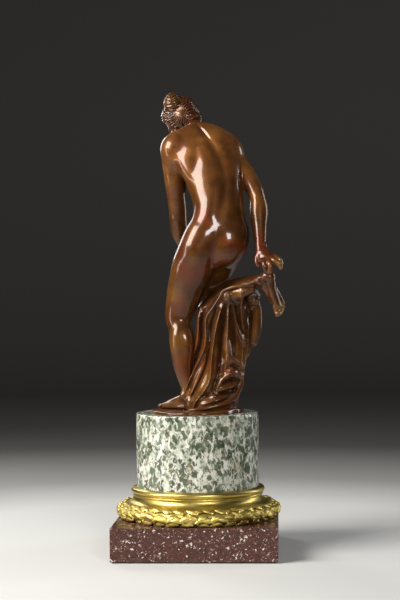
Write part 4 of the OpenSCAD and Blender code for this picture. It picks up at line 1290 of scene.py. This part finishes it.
def m_breccia():
    n = Nodes("green_breccia")
    tilt = stretched(n, (0.4, 0.8, 0.3), (1.0, 1.0, 0.80))
    v = warped(n, 190, 0.0085, tilt)
    v2 = warped(n, 330, 0.0055, tilt)
    pale = n.ramp(n.noise(150, 6, 0.66, 0.5, tilt), [(0.36, (0.15, 0.175, 0.125)), (0.44, (0.32, 0.355, 0.275)), (0.52, (0.54, 0.55, 0.47)), (0.66, (0.72, 0.69, 0.61))])

    def patches(col, scale, vec, share, radius, soft, tints, weight):
        sep = n.new("ShaderNodeSeparateColor")
        n.link(n.voro(scale, vec=vec, out="Color"), sep.inputs[0])
        dist = n.voro(scale, vec=vec)
        pick = n.ramp(sep.outputs[0], [(share - 0.01, 1.0), (share + 0.01, 0.0)])
        edge = n.ramp(n.math("ADD", dist, n.math("MULTIPLY", n.noise(scale * 2.6, 4, 0.7), 0.30)), [(radius, 1.0), (radius + soft, 0.0)])
        tint = n.ramp(sep.outputs[1], tints)
        return n.mix(n.math("MULTIPLY", n.math("MULTIPLY", pick, edge), weight), col, tint)

    col = patches(pale, 150, v, 0.58, 0.62, 0.14, [(0.0, (0.028, 0.048, 0.026)), (0.5, (0.075, 0.108, 0.062)), (1.0, (0.17, 0.21, 0.135))], 0.94)
    col = patches(col, 260, v2, 0.52, 0.60, 0.12, [(0.0, (0.024, 0.038, 0.021)), (0.6, (0.068, 0.090, 0.052)), (1.0, (0.18, 0.16, 0.09))], 0.9)
    col = patches(col, 480, v2, 0.36, 0.55, 0.14, [(0.0, (0.030, 0.038, 0.022)), (1.0, (0.12, 0.12, 0.08))], 0.8)
    streak = stretched(n, (0.2, 1.1, 0.4), (1.0, 1.0, 0.5))
    white = n.ramp(n.noise(210, 5, 0.62, 0.7, streak), [(0.555, 0.0), (0.61, 0.9)])
    col = n.mix(white, col, (0.76, 0.75, 0.68))
    ochre = n.ramp(n.noise(60, 5, 0.65, 0.5), [(0.58, 0.0), (0.74, 0.55)])
    col = n.mix(ochre, col, (0.36, 0.29, 0.13))
    rust = n.ramp(n.noise(240, 4, 0.6, 0.4), [(0.64, 0.0), (0.72, 0.5)])
    col = n.mix(rust, col, (0.22, 0.15, 0.07))
    n.set(**{"Base Color": col, "Roughness": n.ramp(n.noise(400, 4), [(0.3, 0.16), (0.7, 0.28)]), "Coat Weight": 0.35, "Coat Roughness": 0.06,
             "Subsurface Weight": 0.04})
    n.b.inputs["Subsurface Radius"].default_value = (0.002, 0.002, 0.0015)
    n.link(n.bump(n.noise(700, 4), 0.06, 0.0003), n.b.inputs["Normal"])
    return n.mat


def m_porphyry():
    n = Nodes("porphyry")
    base = n.ramp(n.noise(260, 6, 0.68, 0.4), [(0.30, (0.034, 0.011, 0.007)), (0.50, (0.066, 0.021, 0.014)), (0.70, (0.108, 0.038, 0.027))])
    v = warped(n, 420, 0.0055)

    def flecks(col, scale, share, r0, r1, soft, tints, weight):
        sep = n.new("ShaderNodeSeparateColor")
        n.link(n.voro(scale, vec=v, out="Color"), sep.inputs[0])
        size = n.math("ADD", n.math("MULTIPLY", sep.outputs[2], r1 - r0), r0)
        edge = n.ramp(n.math("ADD", n.math("SUBTRACT", n.voro(scale, vec=v), size), 0.5), [(0.5, 1.0), (0.5 + soft, 0.0)])
        pick = n.ramp(sep.outputs[0], [(share - 0.01, 1.0), (share + 0.01, 0.0)])
        return n.mix(n.math("MULTIPLY", n.math("MULTIPLY", edge, pick), weight), col, n.ramp(sep.outputs[1], tints))

    col = flecks(base, 400, 0.42, 0.06, 0.27, 0.05, [(0.0, (0.30, 0.16, 0.14)), (0.45, (0.56, 0.42, 0.38)), (1.0, (0.86, 0.80, 0.76))], 0.95)
    col = flecks(col, 820, 0.36, 0.08, 0.32, 0.08, [(0.0, (0.28, 0.15, 0.13)), (1.0, (0.72, 0.62, 0.58))], 0.9)
    col = flecks(col, 270, 0.26, 0.08, 0.29, 0.05, [(0.0, (0.62, 0.50, 0.46)), (1.0, (0.88, 0.84, 0.80))], 0.92)
    col = flecks(col, 520, 0.25, 0.15, 0.35, 0.08, [(0.0, (0.020, 0.010, 0.010)), (1.0, (0.035, 0.018, 0.018))], 0.8)
    geo = n.new("ShaderNodeNewGeometry")
    worn = n.ramp(geo.outputs["Pointiness"], [(0.515, 0.0), (0.60, 0.7)])
    worn = n.math("MULTIPLY", worn, n.ramp(n.noise(260, 5, 0.7), [(0.35, 0.1), (0.6, 1.0)]))
    col = n.mix(worn, col, (0.34, 0.24, 0.21))
    n.set(**{"Base Color": col, "Roughness": n.ramp(n.noise(300, 4), [(0.3, 0.22), (0.7, 0.40)]), "Coat Weight": 0.15, "Coat Roughness": 0.12, "Specular IOR Level": 0.35})
    n.link(n.bump(n.noise(900, 4), 0.06, 0.0003), n.b.inputs["Normal"])
    return n.mat


def m_plain(name, a, b_, metallic, r0, r1, scale):
    n = Nodes(name)
    col = n.ramp(n.noise(scale, 5, 0.6, 0.2), [(0.3, a), (0.7, b_)])
    n.set(**{"Base Color": col, "Metallic": metallic, "Roughness": n.ramp(n.noise(scale * 3, 4), [(0.3, r0), (0.7, r1)])})
    n.link(n.bump(n.noise(scale * 6, 4), 0.2, 0.0003), n.b.inputs["Normal"])
    return n.mat


def dress(ob, mat):
    ob.data.materials.clear()
    ob.data.materials.append(mat)


BRONZE = m_bronze()
# the head's copy of the bronze carries deeper painted shade in its hollows
HEAD_BRONZE_DEEP_SHADE = m_bronze("bronze_patina_head_deep_shade", 0.025)
GILT, GILT_M = m_gilt("gilt_burnished"), m_gilt("gilt_matte", True)
BRECCIA, PORPHYRY = m_breccia(), m_porphyry()
STEEL = m_plain("turned_steel", (0.30, 0.30, 0.31), (0.46, 0.46, 0.47), 1.0, 0.25, 0.4, 400)
BAIZE = m_plain("green_baize", (0.020, 0.060, 0.028), (0.045, 0.105, 0.050), 0.0, 0.85, 0.98, 900)
WOOD = m_plain("turned_core", (0.30, 0.19, 0.10), (0.46, 0.31, 0.17), 0.0, 0.55, 0.7, 90)

pieces = build_figure()
pieces.update(build_support())
for node_, ob_ in pieces.items():
    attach(ob_, "root")
    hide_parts(node_)
    dress(ob_, HEAD_BRONZE_DEEP_SHADE if node_ == "figure_head" else BRONZE)
for node_, ob_, slot_, mat_ in (("scotia_moulding", build_scotia(), "gilt_bronze", GILT), ("laurel_wreath_ring", build_wreath(), "gilt_bronze", GILT_M),
                                ("marble_drum", build_drum(), "green_breccia", BRECCIA), ("porphyry_plinth", build_plinth(), "porphyry", PORPHYRY)):
    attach(ob_, "root")
    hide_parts(node_)
    dress(ob_, mat_)
for node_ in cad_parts:
    if node_ in ("baize_pad",):
        dress(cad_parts[node_], BAIZE)
    elif node_ == "base_core":
        dress(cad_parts[node_], WOOD)
    elif node_ in ("tie_rod", "rod_nut", "rod_washer", "foot_screw", "support_screws") or node_.endswith("dowel"):
        dress(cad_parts[node_], STEEL)
    elif node_ in ("ground_plate", "tree_stump", "drapery") or node_.startswith("figure_"):
        dress(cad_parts[node_], BRONZE)


# ------------------------------------------------------------------ studio
def panel(name, loc, look, size, power, colour=(1, 1, 1)):
    d = bpy.data.lights.new(name, "AREA")
    d.shape = "RECTANGLE"
    d.size, d.size_y = size
    d.energy = power
    d.color = colour
    ob = bpy.data.objects.new(name, d)
    ob.location = loc
    ob.rotation_euler = (Vector(look) - Vector(loc)).to_track_quat("-Z", "Y").to_euler()
    bpy.context.scene.collection.objects.link(ob)
    return ob


def studio():
    me = bpy.data.meshes.new("floor")
    R, n = 3.0, 48
    prof = [(0.0, 0.0), (0.4, 0.0), (1.2, 0.0), (2.2, 0.0)] + [(2.2 + 0.8 * math.sin(t), 0.8 - 0.8 * math.cos(t)) for t in np.linspace(0.2, math.pi / 2, 8)] + [(3.0, 2.6)]
    vs, fs = [(0, 0, -0.0002)], []
    for i in range(n):
        a = 2 * math.pi * i / n
        for r, z in prof[1:]:
            vs.append((r * math.cos(a), r * math.sin(a), z - 0.0002))
    m = len(prof) - 1
    for i in range(n):
        j = (i + 1) % n
        fs.append((0, 1 + i * m, 1 + j * m))
        for q in range(m - 1):
            fs.append((1 + i * m + q, 1 + i * m + q + 1, 1 + j * m + q + 1, 1 + j * m + q))
    me.from_pydata(vs, [], fs)
    me.polygons.foreach_set("use_smooth", [True] * len(me.polygons))
    me.update()
    fl = bpy.data.objects.new("floor", me)
    bpy.context.scene.collection.objects.link(fl)
    n_ = Nodes("pale_floor")
    far = n_.new("ShaderNodeVectorMath", operation="LENGTH")
    n_.link(n_.co, far.inputs[0])
    pale = n_.ramp(n_.noise(3, 3), [(0.3, (0.60, 0.60, 0.59)), (0.7, (0.64, 0.64, 0.63))])
    # painted pool of light: the floor is painted pale round the stand and darkens to grey further out
    painted_light_pool = n_.ramp(far.outputs["Value"], [(0.30, 0.0), (0.50, 0.60), (0.90, 1.0)])
    n_.set(**{"Base Color": n_.mix(painted_light_pool, pale, (0.085, 0.082, 0.078)), "Roughness": 0.75})
    dress(fl, n_.mat)
    fl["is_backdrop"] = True
    w = bpy.data.worlds.new("studio")
    w.use_nodes = True
    w.node_tree.nodes["Background"].inputs[0].default_value = (0.62, 0.65, 0.70, 1)
    w.node_tree.nodes["Background"].inputs[1].default_value = 0.10
    bpy.context.scene.world = w
    panel("key", (-0.95, -0.62, 0.95), (0, 0, 0.30), (0.72, 0.72), 30, (1.0, 0.97, 0.91))
    panel("strip", (-1.0, -0.30, 0.34), (0, 0, 0.24), (0.16, 0.75), 3.6, (1.0, 0.98, 0.94))
    panel("front", (0.42, -1.25, 0.62), (0, 0, 0.20), (0.30, 0.30), 7, (1.0, 0.99, 0.97))
    panel("side_r", (0.82, 0.42, 0.42), (0, 0, 0.22), (0.12, 0.7), 2.4, (0.95, 0.98, 1.0))
    panel("back_l", (-0.55, 0.75, 0.65), (0, 0, 0.26), (0.25, 0.5), 2.6)


def camera():
    F, D, az, hc = 1400.0, 1.203, math.radians(3.5), 0.2077
    roll, pitch, yaw = math.radians(0.6), math.radians(0.2865), math.atan(3.9 / 1400.0)
    cd = bpy.data.cameras.new("photo_view")
    cd.sensor_fit = "VERTICAL"
    cd.sensor_height = 24.0
    cd.sensor_width = 16.0
    cd.lens = F / 600.0 * 24.0
    cd.clip_start, cd.clip_end = 0.05, 20
    cd.dof.use_dof = False
    ob = bpy.data.objects.new("photo_view", cd)
    a = az - yaw
    f = np.array([-math.sin(a), math.cos(a), 0.0])
    r = np.array([math.cos(a), math.sin(a), 0.0])
    u = np.array([0, 0, 1.0])
    f2 = f * math.cos(pitch) + u * math.sin(pitch)
    u2 = u * math.cos(pitch) - f * math.sin(pitch)
    r3 = r * math.cos(roll) - u2 * math.sin(roll)
    u3 = u2 * math.cos(roll) + r * math.sin(roll)
    from mathutils import Matrix
    M = Matrix.Identity(4)
    for i in range(3):
        M[i][0], M[i][1], M[i][2] = r3[i], u3[i], -f2[i]
    M[0][3], M[1][3], M[2][3] = D * math.sin(az), -D * math.cos(az), hc
    ob.matrix_world = M
    bpy.context.scene.collection.objects.link(ob)
    bpy.context.scene.camera = ob


studio()
camera()
bpy.context.scene.view_settings.view_transform = "Standard"
bpy.context.view_layer.update()
SIZE1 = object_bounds()


def plain(x):
    if isinstance(x, dict):
        return {k: plain(v) for k, v in x.items()}
    return np.array(x, float).tolist()


{"at_load": plain(SIZE0), "before_finish": plain(SIZE1)}
